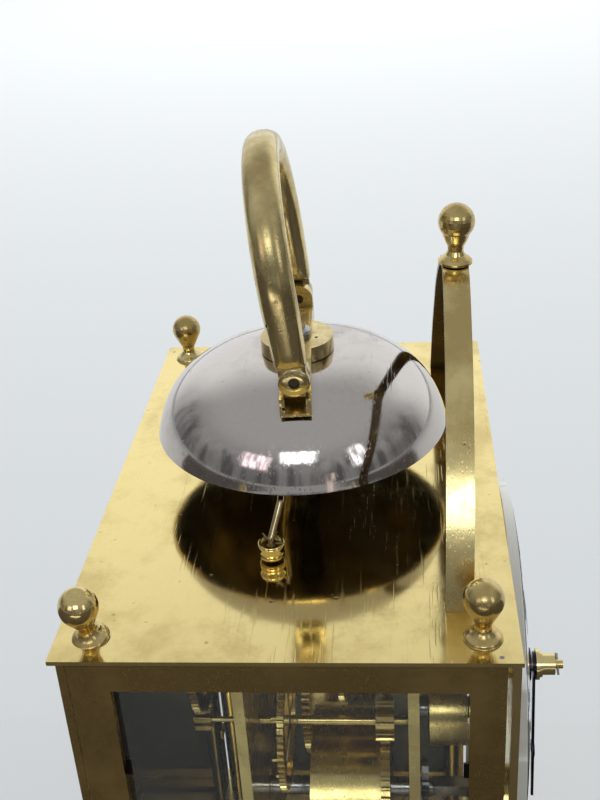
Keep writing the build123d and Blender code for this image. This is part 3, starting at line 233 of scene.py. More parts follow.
def through(points, per=6):
    """Smooth line through points; a point given twice is a corner."""
    line = []
    for k in range(len(points) - 1):
        b, c = points[k], points[k + 1]
        if b == c:
            continue
        a = points[k - 1] if k and points[k - 1] != b else b
        d = points[k + 2] if k + 2 < len(points) and points[k + 2] != c else c
        for n in range(per):
            t = n / per
            line.append(tuple(0.5 * (2 * q + (r - p) * t + (2 * p - 5 * q + 4 * r - w) * t * t
                                     + (3 * q - p - 3 * r + w) * t ** 3) for p, q, r, w in zip(a, b, c, d)))
    return line + [points[-1]]


def turn_on_lathe(shape, outline, place=Matrix(), around=72):
    """Turns an outline of (radius, height) in millimetres about Z into shape, then moves it to its place."""
    rings = []
    for radius, height in outline:
        if radius < 1e-6:
            rings.append([shape.verts.new(place @ Vector((0, 0, height * mm)))])
            continue
        turns = (2 * math.pi * k / around for k in range(around))
        rings.append([shape.verts.new(place @ Vector((radius * mm * math.cos(a), radius * mm * math.sin(a),
                                                      height * mm))) for a in turns])
    for lower, upper in zip(rings, rings[1:]):
        for k in range(around):
            n = (k + 1) % around
            corners = [lower[k % len(lower)], lower[n % len(lower)], upper[n % len(upper)], upper[k % len(upper)]]
            corners = list(dict.fromkeys(corners))
            if len(corners) > 2:
                shape.faces.new(corners)


def finished(name, shape):
    """Mesh from a bmesh, with its faces turned outwards."""
    bmesh.ops.recalc_face_normals(shape, faces=shape.faces)
    mesh = bpy.data.meshes.new(name)
    shape.to_mesh(mesh)
    shape.free()
    return mesh


# ---- Feet ---------------------------------------------------------------------------------------
# Four turned brass feet, each a flattened ball on a pad with a collar above, screwed into the base.
foot_line = through([(0.1, 0), (0.1, 0), (4.4, 0), (4.6, 0.2), (6.6, 1.4), (8.0, 4.6), (7.2, 7.8),
                     (4.6, 9.6), (4.6, 9.6), (3.6, 10.9), (4.4, 12.1), (4.4, 12.1), (6.3, 12.6), (6.8, 13.6),
                     (6.2, 15.0), (6.0, 15.2), (6.0, 15.2), (6.0, 17.0), (6.0, 17.0), (0.1, 17.0)])
foot_width = 16 * mm
feet_low, feet_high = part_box("feet")
shape = bmesh.new()
for side in (-1, 1):
    for end in (-1, 1):
        at = (feet_low + feet_high) / 2
        at += Vector((side * (feet_high.x - feet_low.x - foot_width) / 2,
                      end * (feet_high.y - feet_low.y - foot_width) / 2, 0))
        at.z = feet_low.z
        turn_on_lathe(shape, foot_line, Matrix.Translation(at))
piece("turned_feet", finished("turned_feet", shape), case_brass, "case", "brass_case", "feet")

# ---- Base plate ---------------------------------------------------------------------------------
# Thick brass plate under the case, its upper edge filed to a slope.
dress("base_plate", case_brass, 0.0003)

# ---- Corner posts and their studs ---------------------------------------------------------------
# Round brass bars between the two plates, turned down at each end for a thread.
dress("corner_posts", case_brass)

# ---- Top plate ----------------------------------------------------------------------------------
# Thin hammered and polished sheet. It lies on the posts and carries the bell, arch and finials.
plate_brass = metal("top plate brass", bump=0.00003, Polished=rgb(0.95, 0.765, 0.335), Dull=rgb(0.74, 0.56, 0.225),
                    Dirt=rgb(0.06, 0.04, 0.018), Tarnish=0.45, Pits=0.35, Scratches=0.6, Smooth=0.085, Rough=0.2)
dress("top_plate", plate_brass, 0.0002)

# ---- Front plate --------------------------------------------------------------------------------
# Brass sheet behind the dial, with a window below for the pendulum. Its edges are filed square.
dress("front_plate", case_brass, 0.0002)
dress("dial_ring", case_brass, 0.0002)

# ---- Doors --------------------------------------------------------------------------------------
# Each side and the back has a door: a brass frame on two pins, a pane held by bent tabs, and a knob.
door_brass = metal("door brass", Polished=rgb(0.8, 0.6, 0.24), Dull=rgb(0.5, 0.35, 0.13), Dirt=rgb(0.05, 0.03, 0.012),
                   Tarnish=0.75, Pits=0.3, Scratches=0.5, Smooth=0.12, Rough=0.28)
faces_of_one_pane = 2


def pane_of(name, clear, painted_shade=None):
    """Old window glass, smudged. Where painted_shade is given, a pane seen through another pane takes that colour:
    painted shade that darkens the inside of the case.
    """
    made = bpy.data.materials.new(name)
    made.use_nodes = True
    tree = made.node_tree
    shader = tree.nodes["Principled BSDF"]
    shader.inputs["Transmission Weight"].default_value = 1.0
    shader.inputs["IOR"].default_value = 1.45
    shader.inputs["Base Color"].default_value = clear
    if painted_shade:
        # Painted shade: a pane reached through another pane takes the dark colour.
        crossed = add(tree, "ShaderNodeLightPath").outputs["Transmission Depth"]
        second = sums(tree, "GREATER_THAN", crossed, faces_of_one_pane - 0.5)
        feed(tree, shader.inputs["Base Color"], blend_colour(tree, second, clear, painted_shade))
    smudge = add(tree, "ShaderNodeTexNoise", Vector=add(tree, "ShaderNodeTexCoord").outputs["Object"], Scale=55.0,
                 Detail=5.0).outputs["Fac"]
    feed(tree, shader.inputs["Roughness"], steps(tree, smudge, 0.5, 0.8, 0.0, 0.06))
    return made


glass_colour = rgb(0.9, 0.92, 0.9)
clear_pane = pane_of("window glass", glass_colour)
# The right and rear panes turn near-black where they are seen through another pane: painted shade for the dark inside
# of the case.
shaded_pane = pane_of("window glass with painted shade", glass_colour, rgb(0.016, 0.014, 0.012))
knob_line = through([(0.9, 0), (0.9, 0), (0.9, 1.1), (1.5, 1.6), (2.3, 2.2), (2.6, 3.2), (2.2, 4.3), (1.2, 4.85),
                     (0.05, 5.0)])
half_knob = 2.5 * mm
for side, outward in (("left", (-1, 0, 0)), ("right", (1, 0, 0)), ("rear", (0, 1, 0))):
    dress(f"{side}_door_frame", door_brass, 0.00025)
    dress(f"{side}_door_glass", clear_pane if side == "left" else shaded_pane)
    knob_low, knob_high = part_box(f"{side}_door_knob")
    outward = Vector(outward)
    stem_foot = (knob_low + knob_high) / 2 - outward * half_knob
    facing = outward.to_track_quat("Z", "Y").to_matrix().to_4x4()
    shape = bmesh.new()
    turn_on_lathe(shape, knob_line, Matrix.Translation(stem_foot) @ facing, 40)
    piece(f"{side}_knob", finished(f"{side}_knob", shape), case_brass, f"{side}_door", "brass_case",
          f"{side}_door_knob")

# ---- Movement -----------------------------------------------------------------------------------
# Two thick brass plates on four pillars, with the going train on one side and the strike on the other.
clock_brass = metal("movement brass", bump=0.00002, Polished=rgb(0.86, 0.66, 0.26), Dull=rgb(0.62, 0.45, 0.16),
                    Dirt=rgb(0.03, 0.018, 0.008), Tarnish=0.6, Pits=0.15, Scratches=0.6, Smooth=0.16, Rough=0.34)
clock_steel = metal("movement steel", bump=0.00002, Polished=rgb(0.5, 0.48, 0.46), Dull=rgb(0.2, 0.18, 0.16),
                    Dirt=rgb(0.03, 0.02, 0.015), Tarnish=0.5, Pits=0.3, Scratches=0.5, Smooth=0.14, Rough=0.34)
for name in ("movement_front_plate", "movement_back_plate"):
    dress(name, clock_brass, 0.0002)
for name in ("pillars", "going_barrel", "strike_barrel", "centre_wheel", "third_wheel", "escape_wheel",
             "pin_wheel", "locking_wheel", "warning_wheel", "hour_wheel", "minute_wheel", "cannon_pinion",
             "alarm_barrel", "pendulum_bob", "rating_nut"):
    dress(name, clock_brass)
# The count wheel's flat faces are near-black metal; its rim and teeth stay brass.
dark_wheel_face = metal("near-black wheel face", bump=0.00001, Polished=rgb(0.05, 0.045, 0.04), Dull=rgb(0.025, 0.02, 0.018),
                   Dirt=rgb(0.01, 0.008, 0.006), Tarnish=0.5, Pits=0.2, Scratches=0.6, Smooth=0.14, Rough=0.3)
count_wheel = dress("count_wheel", clock_brass)
count_wheel.data.materials.append(dark_wheel_face)
for face in count_wheel.data.polygons:
    face.material_index = 1 if abs(face.normal.y) > 0.9 else 0
for name in ("pillar_pins", "plate_studs", "going_winding_arbor", "strike_winding_arbor", "pallet_anchor",
             "pendulum_rod", "fly", "suspension", "door_pins", "bell_post"):
    dress(name, clock_steel)

# ---- Dial ---------------------------------------------------------------------------------------
# White enamel fired on a domed copper disc, with black numerals and a ring of minute marks.
enamel = bpy.data.materials.new("white enamel")
enamel.use_nodes = True
tree = enamel.node_tree
shader = tree.nodes["Principled BSDF"]
spot = add(tree, "ShaderNodeTexCoord").outputs["Object"]
cloud = add(tree, "ShaderNodeTexNoise", Vector=spot, Scale=60.0, Detail=4.0).outputs["Fac"]
feed(tree, shader.inputs["Base Color"], blend_colour(tree, cloud, rgb(0.86, 0.87, 0.86), rgb(0.8, 0.81, 0.79)))
feed(tree, shader.inputs["Roughness"], steps(tree, cloud, 0.3, 0.7, 0.06, 0.14))
shader.inputs["Coat Weight"].default_value = 0.5
shader.inputs["Coat Roughness"].default_value = 0.03
ripple = add(tree, "ShaderNodeTexNoise", Vector=spot, Scale=180.0, Detail=2.0).outputs["Fac"]
relief = add(tree, "ShaderNodeBump", Strength=0.5, Distance=0.00005, Height=ripple)
feed(tree, shader.inputs["Normal"], relief.outputs[0])
dress("dial", enamel)
ink = bpy.data.materials.new("fired black")
ink.use_nodes = True
tree = ink.node_tree
shader = tree.nodes["Principled BSDF"]
speckle = add(tree, "ShaderNodeTexNoise", Vector=add(tree, "ShaderNodeTexCoord").outputs["Object"], Scale=900.0,
              Detail=3.0).outputs["Fac"]
feed(tree, shader.inputs["Base Color"],
     blend_colour(tree, speckle, rgb(0.006, 0.006, 0.008), rgb(0.03, 0.028, 0.03)))
feed(tree, shader.inputs["Roughness"], steps(tree, speckle, 0.3, 0.7, 0.1, 0.3))
dial_low, dial_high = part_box("dial")
dial_middle = (dial_low + dial_high) / 2
dome_radius, dial_hole = 292.8, 3.7
film, sunk = 0.05, 0.03
ring_in, ring_out = 45.2, 47.6
fine, bold = 0.3, 0.85


def on_dome(along, out, turn, lift):
    """Point over the dial: along the ring, out from its middle, at a clockwise turn from twelve."""
    x, z = along * math.cos(turn) + out * math.sin(turn), out * math.cos(turn) - along * math.sin(turn)
    fall = (dome_radius - math.sqrt(dome_radius ** 2 - x * x - z * z)) - dial_hole ** 2 / (2 * dome_radius)
    return Vector((dial_middle.x + x * mm, dial_low.y + (fall - lift) * mm, dial_middle.z + z * mm))


def stroke(shape, turn, low_out, high_out, low_along, high_along, low_width, high_width, cuts=3):
    """Thin raised bar of black across the dial, leaning from low_along to high_along."""
    rings = []
    for k in range(cuts + 1):
        t = k / cuts
        out, along = low_out + (high_out - low_out) * t, low_along + (high_along - low_along) * t
        half = (low_width + (high_width - low_width) * t) / 2
        rings.append([shape.verts.new(on_dome(along + side * half, out, turn, lift))
                      for side, lift in ((-1, -sunk), (1, -sunk), (1, film), (-1, film))])
    for lower, upper in zip(rings, rings[1:]):
        for n in range(4):
            shape.faces.new((lower[n], lower[(n + 1) % 4], upper[(n + 1) % 4], upper[n]))
    shape.faces.new(rings[0])
    shape.faces.new(rings[-1])


numerals = ("XII", "I", "II", "III", "IIII", "V", "VI", "VII", "VIII", "IX", "X", "XI")
letter_width = {"I": 2.3, "V": 5.4, "X": 5.6}
foot, head, thick, thin = 33.2, 42.6, 1.25, 0.4
half_serif = 0.16
shape = bmesh.new()
for hour, letters in enumerate(numerals):
    turn = 2 * math.pi * hour / 12
    start = -sum(letter_width[letter] for letter in letters) / 2
    for letter in letters:
        middle, half = start + letter_width[letter] / 2, letter_width[letter] / 2 - 1.1
        if letter == "I":
            stroke(shape, turn, foot, head, middle, middle, thick, thick)
        elif letter == "V":
            stroke(shape, turn, foot, head, middle, middle - half, thick * 0.5, thick)
            stroke(shape, turn, foot, head, middle + 0.15, middle + half, thin, thin)
        else:
            stroke(shape, turn, foot, head, middle + half, middle - half, thick, thick)
            stroke(shape, turn, foot, head, middle - half, middle + half, thin, thin)
        start += letter_width[letter]
    span = sum(letter_width[letter] for letter in letters) - 0.5
    for out in (foot, head):
        stroke(shape, turn, out - half_serif, out + half_serif, 0, 0, span, span, 1)
for minute in range(60):
    turn = 2 * math.pi * minute / 60
    width = bold if minute % 5 == 0 else fine
    stroke(shape, turn, ring_in + 0.1, ring_out, 0, 0, width, width, 1)
ring_parts, half_line = 120, 0.12
for out in (ring_in, ring_out):
    for part in range(ring_parts):
        length = 2 * out * math.tan(math.pi / ring_parts)
        stroke(shape, 2 * math.pi * (part + 0.5) / ring_parts, out - half_line, out + half_line, 0, 0,
               length, length, 1)
piece("dial_numerals", finished("dial_numerals", shape), ink, "case", "enamel")

# ---- Hands --------------------------------------------------------------------------------------
# Pierced hands of sheet steel, blued nearly black, with a brass collet and a cross pin in front.
blued = metal("blued steel", bump=0.00001, Polished=rgb(0.03, 0.035, 0.07), Dull=rgb(0.015, 0.015, 0.025),
              Dirt=rgb(0.01, 0.008, 0.006), Tarnish=0.4, Pits=0.1, Scratches=0.3, Smooth=0.2, Rough=0.35)
dress("hour_hand", blued, 0.0001)
dress("minute_hand", blued, 0.0001)
dress("hand_collet", case_brass)
dress("hand_pin", clock_steel)

# ---- Corner finials -----------------------------------------------------------------------------
# Turned brass balls on waisted stems, screwed on the posts' studs over the top plate. The near left
# one has been knocked: it leans, and its crown is worn flat.
ball_brass = metal("finial brass", bump=0.00004, Polished=rgb(0.88, 0.7, 0.31), Dull=rgb(0.5, 0.36, 0.14),
                   Dirt=rgb(0.05, 0.03, 0.012), Tarnish=0.7, Pits=0.5, Scratches=0.5, Smooth=0.1, Rough=0.3)


ball_radius, ball_middle = 4.1, 9.6
whole_crown, worn_crown = 13.7, 13.2


def finial_line(crown):
    """Outline of a finial: flared foot, waist and ball."""
    stem = [(0.3, 0.0), (0.3, 0.0), (3.7, 0.0), (3.85, 0.25), (3.6, 0.8), (2.6, 1.5), (1.85, 2.6), (1.8, 3.8),
            (2.3, 5.0), (3.0, 6.4)]
    round_part = [(ball_radius * math.cos(a), ball_middle + ball_radius * math.sin(a))
                  for a in (math.radians(d) for d in range(-30, 90, 15))]
    worn = [(r, min(h, crown)) for r, h in round_part]
    return through(stem + worn + [(0.05, crown)], 5)


finial_low, finial_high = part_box("corner_finials")
spread = Vector(((finial_high.x - finial_low.x) / 2 - ball_radius * mm,
                 (finial_high.y - finial_low.y) / 2 - ball_radius * mm, 0))
middle = (finial_low + finial_high) / 2
shape = bmesh.new()
for side in (-1, 1):
    for end in (-1, 1):
        at = Vector((middle.x + side * spread.x, middle.y + end * spread.y, finial_low.z))
        knocked = side < 0 and end > 0
        lean = Euler((math.radians(-4), math.radians(-12), 0)).to_matrix().to_4x4() if knocked else Matrix()
        turn_on_lathe(shape, finial_line(worn_crown if knocked else whole_crown), Matrix.Translation(at) @ lean)
piece("turned_finials", finished("turned_finials", shape), ball_brass, "case", "brass_case", "corner_finials")

# ---- Arch and its finial ------------------------------------------------------------------------
# Brass strip bent to two long curves and a small crown, pinned to the plate, with a finial on top.
arch_brass = metal("arch brass", bump=0.00005, Polished=rgb(0.86, 0.7, 0.33), Dull=rgb(0.55, 0.41, 0.17),
                   Dirt=rgb(0.05, 0.03, 0.012), Tarnish=0.6, Pits=0.8, Scratches=0.5, Smooth=0.12, Rough=0.3)
# Painted shade: the arch's inner faces and its edge facing +Y take this dark copy of the arch brass.
arch_shade_brass = metal("painted shade on arch inner side", bump=0.00004, Polished=rgb(0.2, 0.14, 0.06), Dull=rgb(0.09, 0.06, 0.025),
                    Dirt=rgb(0.03, 0.02, 0.01), Tarnish=0.8, Pits=0.7, Scratches=0.4, Smooth=0.22, Rough=0.45)
arch = dress("arch", arch_brass, 0.0003)
arch.data.materials.append(arch_shade_brass)
arch_low, arch_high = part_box("arch")
arch_centre = Vector(((arch_low.x + arch_high.x) / 2, 0, arch_low.z))
# Faces turned in towards the arch's middle, and faces facing +Y, get the painted-shade brass.
for face in arch.data.polygons:
    inward = arch_centre - face.center
    inward.y = 0
    face.material_index = 1 if face.normal.y > 0.7 or face.normal.dot(inward.normalized()) > 0.5 else 0
dress("arch_finial", ball_brass)

# ---- Bell ---------------------------------------------------------------------------------------
# Steel bell, turned and polished to a grey with a brown cast; rust has left a few specks.
bell_steel = metal("bell steel", bump=0.000015, Polished=rgb(0.64, 0.585, 0.54), Dull=rgb(0.44, 0.375, 0.335),
                   Dirt=rgb(0.09, 0.04, 0.025), Tarnish=0.3, Pits=0.22, Scratches=0.9, Smooth=0.07, Rough=0.17)
# Painted shade: the inside of the bell takes this near-black copy of the bell steel.
bell_shade_steel = metal("painted shade inside bell", bump=0.00003, Polished=rgb(0.07, 0.05, 0.03), Dull=rgb(0.035, 0.024, 0.014),
                    Dirt=rgb(0.02, 0.012, 0.008), Tarnish=0.8, Pits=0.7, Scratches=0.3, Smooth=0.3, Rough=0.6)
bell_low, bell_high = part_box("bell")
bell_middle = (bell_low + bell_high) / 2
bell_radius, bell_height = (bell_high.x - bell_low.x) / 2 / mm, (bell_high.z - bell_low.z) / mm
bell_wall, fullness, sink, post_hole = 1.3, 2.9, 12.0, 2.3


def dome_line(radius, height, low, high):
    """Superellipse whose widest point lies below the rim: (radius, height) from low to high, clear of the post."""
    tall = height + sink
    wide = radius / (1 - (sink / tall) ** fullness) ** (1 / fullness)
    start = math.asin((sink / tall) ** (fullness / 2))
    turns = [start + (math.pi / 2 - start) * (low + (high - low) * k / 40) for k in range(1, 40)]
    line = [(wide * math.cos(t) ** (2 / fullness), tall * math.sin(t) ** (2 / fullness) - sink) for t in turns]
    return [(r, h) for r, h in line if r > post_hole]


outer = dome_line(bell_radius, bell_height, 0, 1)
inner = dome_line(bell_radius - bell_wall, bell_height - bell_wall, 1, 0)
rim = [(bell_radius - bell_wall, 0.35), (bell_radius - bell_wall + 0.25, 0.05), (bell_radius - 0.65, 0.0),
       (bell_radius - 0.25, 0.05), (bell_radius - 0.02, 0.35)]
shape = bmesh.new()
bell_foot = Vector((bell_middle.x, bell_middle.y, bell_low.z))
turn_on_lathe(shape, [(post_hole, bell_height - bell_wall)] + inner + rim + outer + [(post_hole, bell_height)],
              Matrix.Translation(bell_foot), 160)
bell_mesh = finished("turned_bell", shape)
piece("turned_bell", bell_mesh, bell_steel, "case", "bell_steel", "bell")
bell_mesh.materials.append(bell_shade_steel)
# Faces turned towards the middle of the bell's mouth get the painted-shade steel.
for face in bell_mesh.polygons:
    outwards = face.center - bell_foot
    face.material_index = 1 if face.normal.dot(outwards) < 0 else 0

# ---- Handle bridge and its nut ------------------------------------------------------------------
# Cast brass disc that clamps the bell. An arm runs out at each side and bears an upright lug.
cast_brass = metal("cast brass", bump=0.00008, Polished=rgb(0.86, 0.7, 0.35), Dull=rgb(0.5, 0.385, 0.17),
                   Dirt=rgb(0.04, 0.025, 0.01), Tarnish=0.6, Pits=1.0, Scratches=0.5, Smooth=0.13, Rough=0.28)
dress("handle_bridge", cast_brass, 0.0003)
nut_low, nut_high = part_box("bell_nut")
nut_middle = (nut_low + nut_high) / 2
shape = bmesh.new()
turn_on_lathe(shape, through([(3.4, 0), (3.4, 0), (3.4, 0.9), (3.0, 1.6), (1.8, 2.1), (0.05, 2.2)]),
              Matrix.Translation((nut_middle.x, nut_middle.y, nut_low.z)), 48)
piece("bell_stud", finished("bell_stud", shape), clock_steel, "case", "steel", "bell_nut")

# ---- Handle -------------------------------------------------------------------------------------
# Cast brass loop with a flat eye at each end, riveted loosely to the bridge. Its skin is pitted.
pivot_low, pivot_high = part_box("handle_pins")
pivot = (pivot_low + pivot_high) / 2
eye_x, eye_half, eye_radius, hole_radius = 24.75, 1.45, 3.5, 1.25
loop_half, shoulder, section_y, section_x = 24.6, 19.8, 4.05, 3.4
askew, leaning = math.radians(3.0), math.radians(-6.6)
loop_place = Matrix.Translation(pivot) @ Matrix.Rotation(askew, 4, "Z") @ Matrix.Rotation(leaning, 4, "X")


def boxy(angle, half_a, half_b, fullness):
    """Point on an outline between an ellipse (2) and a rectangle (high numbers)."""
    a, b = math.cos(angle), math.sin(angle)
    power = 2 / fullness
    return (half_a * math.copysign(abs(a) ** power, a), half_b * math.copysign(abs(b) ** power, b))


shape = bmesh.new()
stations = []
tab_foot, tab_top, round_end = 1.35, 3.5, 3.2
tab_half_y, around_leg = 3.2, 32
leg_rises = [tab_foot, 2.4, tab_top]
leg_rises += [tab_top + round_end * (1 - math.cos(math.pi / 2 * k / 8)) for k in range(1, 9)]
leg_rises += [tab_top + round_end + (shoulder - tab_top - round_end) * k / 10 for k in range(1, 10)]
for rise in leg_rises:
    swell = min(1.0, max(0.0, (rise - tab_top) / round_end))
    swell = math.sqrt(1 - (1 - swell) ** 2)
    inwards = (eye_x - loop_half) * (rise - tab_foot) / (shoulder - tab_foot)
    stations.append((Vector((-eye_x + inwards, 0, rise)), 0.0, swell))
for k in range(49):
    around = math.pi * k / 48
    top = Vector((-loop_half * math.cos(around), 0, shoulder + loop_half * math.sin(around)))
    stations.append((top, around, 1.0))
stations += [(Vector((-at.x, 0, at.z)), math.pi, swell) for at, _, swell in reversed(stations[:len(leg_rises)])]
rings = []
for at, bend, swell in stations:
    narrow = 1 - 0.1 * max(0.0, 1 - (at.z - tab_top) / 14.0)
    half_x = eye_half - 0.03 + (section_x * narrow - eye_half) * swell
    half_y = tab_half_y + (section_y * narrow - tab_half_y) * swell
    out_of_plane, in_plane = Vector((0, 1, 0)), Vector((math.cos(bend), 0, -math.sin(bend)))
    ring = []
    for n in range(around_leg):
        y, x = boxy(2 * math.pi * n / around_leg, half_y, half_x, 4.0 - 1.85 * swell)
        hand_filed = 1 - 0.006 * (1 + math.sin(3.1 * bend + n * 0.9))
        ring.append(shape.verts.new(loop_place @ ((at + (out_of_plane * y + in_plane * x) * hand_filed) * mm)))
    rings.append(ring)
for lower, upper in zip(rings, rings[1:]):
    for n in range(around_leg):
        m = (n + 1) % around_leg
        shape.faces.new((lower[n], lower[m], upper[m], upper[n]))
shape.faces.new(rings[0])
shape.faces.new(rings[-1])
chamfer = 0.35
eye_line = [(hole_radius, -eye_half), (eye_radius - chamfer, -eye_half), (eye_radius, -eye_half + chamfer),
            (eye_radius, eye_half - chamfer), (eye_radius - chamfer, eye_half), (hole_radius, eye_half),
            (hole_radius, -eye_half)]
for side in (-1, 1):
    turn_on_lathe(shape, eye_line, loop_place @ Matrix.Translation((side * eye_x * mm, 0, 0))
                  @ Matrix.Rotation(math.pi / 2, 4, "Y"), 48)
piece("cast_handle", finished("cast_handle", shape), cast_brass, "handle", "brass_handle", "handle", sharp=50)
pin_steel = metal("handle pin steel", Polished=rgb(0.16, 0.13, 0.1), Dull=rgb(0.07, 0.055, 0.04),
                  Dirt=rgb(0.02, 0.012, 0.006), Tarnish=0.8, Pits=0.6, Scratches=0.4, Smooth=0.25, Rough=0.5)
dress("handle_pins", pin_steel)

# ---- Hammer -------------------------------------------------------------------------------------
# Small turned brass head on a bent steel wire, with thin wire bound round it above the head.
wire_steel = metal("hammer wire", bump=0.00001, Polished=rgb(0.5, 0.4, 0.22), Dull=rgb(0.22, 0.16, 0.08),
                   Dirt=rgb(0.03, 0.02, 0.01), Tarnish=0.6, Pits=0.3, Scratches=0.4, Smooth=0.15, Rough=0.35)
for name in ("hammer_wire", "hammer_binding"):
    dress(name, wire_steel)
dress("hammer_arbor", clock_steel)
head_low, head_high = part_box("hammer_head")
head_middle = (head_low + head_high) / 2
head_line = [(0.7, 0.0), (2.3, 0.0), (2.7, 0.15), (2.85, 0.5), (2.85, 0.85), (2.55, 0.95), (2.5, 1.2), (2.55, 1.4),
             (2.75, 1.5), (2.75, 2.6), (2.93, 2.8), (2.95, 3.3), (2.9, 3.7), (2.75, 3.8), (2.5, 3.7), (2.35, 3.0),
             (2.1, 2.85), (0.7, 2.8), (0.7, 0.0)]
shape = bmesh.new()
turn_on_lathe(shape, head_line, Matrix.Translation((head_middle.x, head_middle.y, head_low.z)), 56)
piece("turned_hammer_head", finished("turned_hammer_head", shape), case_brass, "hammer", "brass_movement",
      "hammer_head", sharp=50)

# ---- Stage --------------------------------------------------------------------------------------
# Pale floor, and the room that the polished brass mirrors: a white wall beyond the clock, a dim
# ceiling, and tall windows on the near side. A dark card stands for the shelf, in reflections only.
low, high = cad_box
reach = 15.0


def sheet_at(name, x0, x1, y0, y1, z, colour, rough):
    """Flat level sheet that isn't part of the clock."""
    mesh = bpy.data.meshes.new(name)
    mesh.from_pydata([(x0, y0, z), (x1, y0, z), (x1, y1, z), (x0, y1, z)], [], [(0, 1, 2, 3)])
    made = bpy.data.objects.new(name, mesh)
    bpy.context.scene.collection.objects.link(made)
    paint = bpy.data.materials.new(name)
    paint.use_nodes = True
    shader = paint.node_tree.nodes["Principled BSDF"]
    shader.inputs["Base Color"].default_value = colour
    shader.inputs["Roughness"].default_value = rough
    mesh.materials.append(paint)
    return made


sheet_at("floor", -reach, reach, -reach, reach, low.z - 0.0004, rgb(0.78, 0.8, 0.81), 0.75)
card = sheet_at("shelf card", -4.0, 0.12, -4.0, 4.0, low.z - 0.0001, rgb(0.1, 0.085, 0.075), 0.6)
card.visible_camera = card.visible_diffuse = card.visible_shadow = card.visible_transmission = False

world = bpy.data.worlds.new("room")
world.use_nodes = True
tree = world.node_tree
towards = add(tree, "ShaderNodeSeparateXYZ", Vector=add(tree, "ShaderNodeTexCoord").outputs["Generated"])
rise = towards.outputs["Z"]
across = sums(tree, "SQRT", sums(tree, "SUBTRACT", 1.0001, sums(tree, "MULTIPLY", rise, rise)))
ahead_part = sums(tree, "SUBTRACT", sums(tree, "MULTIPLY", towards.outputs["X"], 0.99),
                  sums(tree, "MULTIPLY", towards.outputs["Y"], 0.1))
wall_side = steps(tree, sums(tree, "DIVIDE", ahead_part, across), 0.3, 0.85)
wall = steps(tree, rise, 0.45, 0.85, 1.08, 0.5)
stretched = add(tree, "ShaderNodeMapping", Vector=add(tree, "ShaderNodeTexCoord").outputs["Generated"],
                Scale=(7.0, 7.0, 0.5))
streaks = add(tree, "ShaderNodeTexNoise", Scale=1.0, Detail=3.0, Vector=stretched.outputs[0])
room = steps(tree, rise, 0.1, 0.8, 0.2, 0.5)
low_down = steps(tree, rise, 0.55, 0.3)
contrast = steps(tree, streaks.outputs["Fac"], 0.38, 0.62, -0.45, 0.4)
room = sums(tree, "MULTIPLY", room, sums(tree, "ADD", 1.0, sums(tree, "MULTIPLY", low_down, contrast)))
strength = sums(tree, "ADD", sums(tree, "MULTIPLY", wall, wall_side),
                sums(tree, "MULTIPLY", room, sums(tree, "SUBTRACT", 1.0, wall_side)))
background = tree.nodes["Background"]
background.inputs["Color"].default_value = rgb(0.93, 0.97, 1.0)
feed(tree, background.inputs["Strength"], strength)
bpy.context.scene.world = world


def window(name, at, aim, width, height, power, colour):
    """Soft rectangular light that points at a place."""
    lamp = bpy.data.lights.new(name, "AREA")
    lamp.shape, lamp.size, lamp.size_y, lamp.energy, lamp.color = "RECTANGLE", width, height, power, colour
    made = bpy.data.objects.new(name, lamp)
    made.location = at
    made.rotation_mode = "QUATERNION"
    made.rotation_quaternion = (Vector(aim) - Vector(at)).to_track_quat("-Z", "Y")
    bpy.context.scene.collection.objects.link(made)
    return made


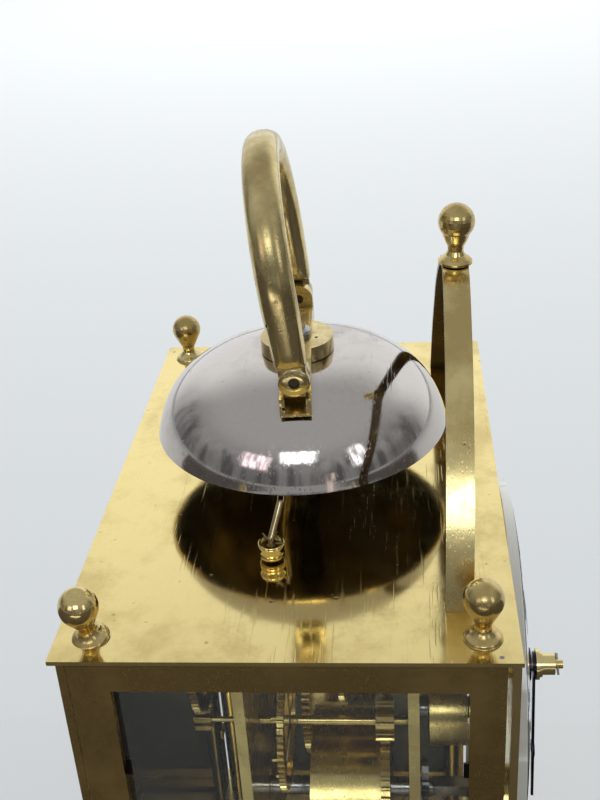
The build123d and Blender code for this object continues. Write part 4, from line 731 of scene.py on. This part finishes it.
def glow(name, at, aim, width, height, strength, colour):
    """Bright soft-edged panel, such as a curtained window. It shows in reflections and through glass."""
    mesh = bpy.data.meshes.new(name)
    mesh.from_pydata([(-width / 2, -height / 2, 0), (width / 2, -height / 2, 0), (width / 2, height / 2, 0),
                      (-width / 2, height / 2, 0)], [], [(0, 1, 2, 3)])
    made = bpy.data.objects.new(name, mesh)
    made.rotation_mode = "QUATERNION"
    made.location = at
    made.rotation_quaternion = (Vector(aim) - Vector(at)).to_track_quat("Z", "Y")
    bpy.context.scene.collection.objects.link(made)
    paint = bpy.data.materials.new(name)
    paint.use_nodes = True
    tree = paint.node_tree
    tree.nodes.remove(tree.nodes["Principled BSDF"])
    place = add(tree, "ShaderNodeTexCoord").outputs["Object"]
    parts = add(tree, "ShaderNodeSeparateXYZ", Vector=place)
    fade = 1.0
    for axis, half in (("X", width / 2), ("Y", height / 2)):
        edge = steps(tree, sums(tree, "ABSOLUTE", parts.outputs[axis]), half, half * 0.55)
        fade = sums(tree, "MULTIPLY", fade, edge)
    hanging = add(tree, "ShaderNodeMapping", Vector=place, Scale=(9.0, 1.2, 1.0))
    folds = add(tree, "ShaderNodeTexNoise", Vector=hanging.outputs[0], Scale=1.0, Detail=3.0).outputs["Fac"]
    fade = sums(tree, "MULTIPLY", fade, steps(tree, folds, 0.35, 0.6, 0.35, 1.0))
    light = add(tree, "ShaderNodeEmission", Color=colour, Strength=sums(tree, "MULTIPLY", fade, strength))
    holes = add(tree, "ShaderNodeBsdfTransparent")
    mixed = add(tree, "ShaderNodeMixShader")
    feed(tree, mixed.inputs[0], fade)
    feed(tree, mixed.inputs[1], holes.outputs[0])
    feed(tree, mixed.inputs[2], light.outputs[0])
    feed(tree, tree.nodes["Material Output"].inputs["Surface"], mixed.outputs[0])
    mesh.materials.append(paint)
    made.visible_camera = made.visible_shadow = made.visible_diffuse = False


at_bell = (0, 0, 0.25)
glow("window one", (-2.4, 0.0, 1.75), at_bell, 1.7, 1.0, 6.0, rgb(0.86, 0.94, 1.0))
glow("window two", (-2.2, 1.5, 1.35), at_bell, 1.5, 1.2, 2.4, rgb(1.0, 0.88, 0.98))
glow("window three", (-1.6, -1.8, 1.2), at_bell, 0.8, 1.5, 2.4, rgb(0.92, 0.94, 1.0))
glow("doorway", (-2.2, -0.95, 0.3), at_bell, 0.4, 0.9, 0.9, rgb(1.0, 0.88, 0.86))
glow("bright cloth before the clock", (-0.76, 0.1, 0.001), (-0.76, 0.1, 1.0), 0.46, 0.8, 2.4, rgb(1.0, 0.98, 0.92))
sky = window("sky light", (2.3, 0.1, 2.1), (0.9, 0, 0.0), 1.6, 1.6, 50.0, (1.0, 0.995, 0.98))
sky.visible_glossy = False

# ---- Camera -------------------------------------------------------------------------------------
# It stands at the clock's left, higher than the handle, and looks down at the top plate.
case_low, case_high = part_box("top_plate")
case_middle = (case_low + case_high) / 2
distance, sideways, over_plate = 0.2436, 0.0252, 0.150
eye = Vector((case_middle.x - distance, case_middle.y - sideways, case_high.z + over_plate))
yaw, pitch, roll = math.radians(5.97), math.radians(-28.06), math.radians(-3.83)
ahead = Vector((math.cos(pitch) * math.cos(yaw), math.cos(pitch) * math.sin(yaw), math.sin(pitch)))
level_right = Vector((math.sin(yaw), -math.cos(yaw), 0.0))
level_up = level_right.cross(ahead)
right = level_right * math.cos(roll) + level_up * math.sin(roll)
up = level_up * math.cos(roll) - level_right * math.sin(roll)
camera_data = bpy.data.cameras.new("camera")
camera = bpy.data.objects.new("camera", camera_data)
camera_data.lens, camera_data.sensor_width = 51.6, 36.0
camera_data.clip_start = 0.01
camera.matrix_world = Matrix((right, up, -ahead)).transposed().to_4x4()
camera.location = eye
bpy.context.scene.collection.objects.link(camera)
bpy.context.scene.camera = camera
bpy.context.scene.view_settings.view_transform = "Standard"
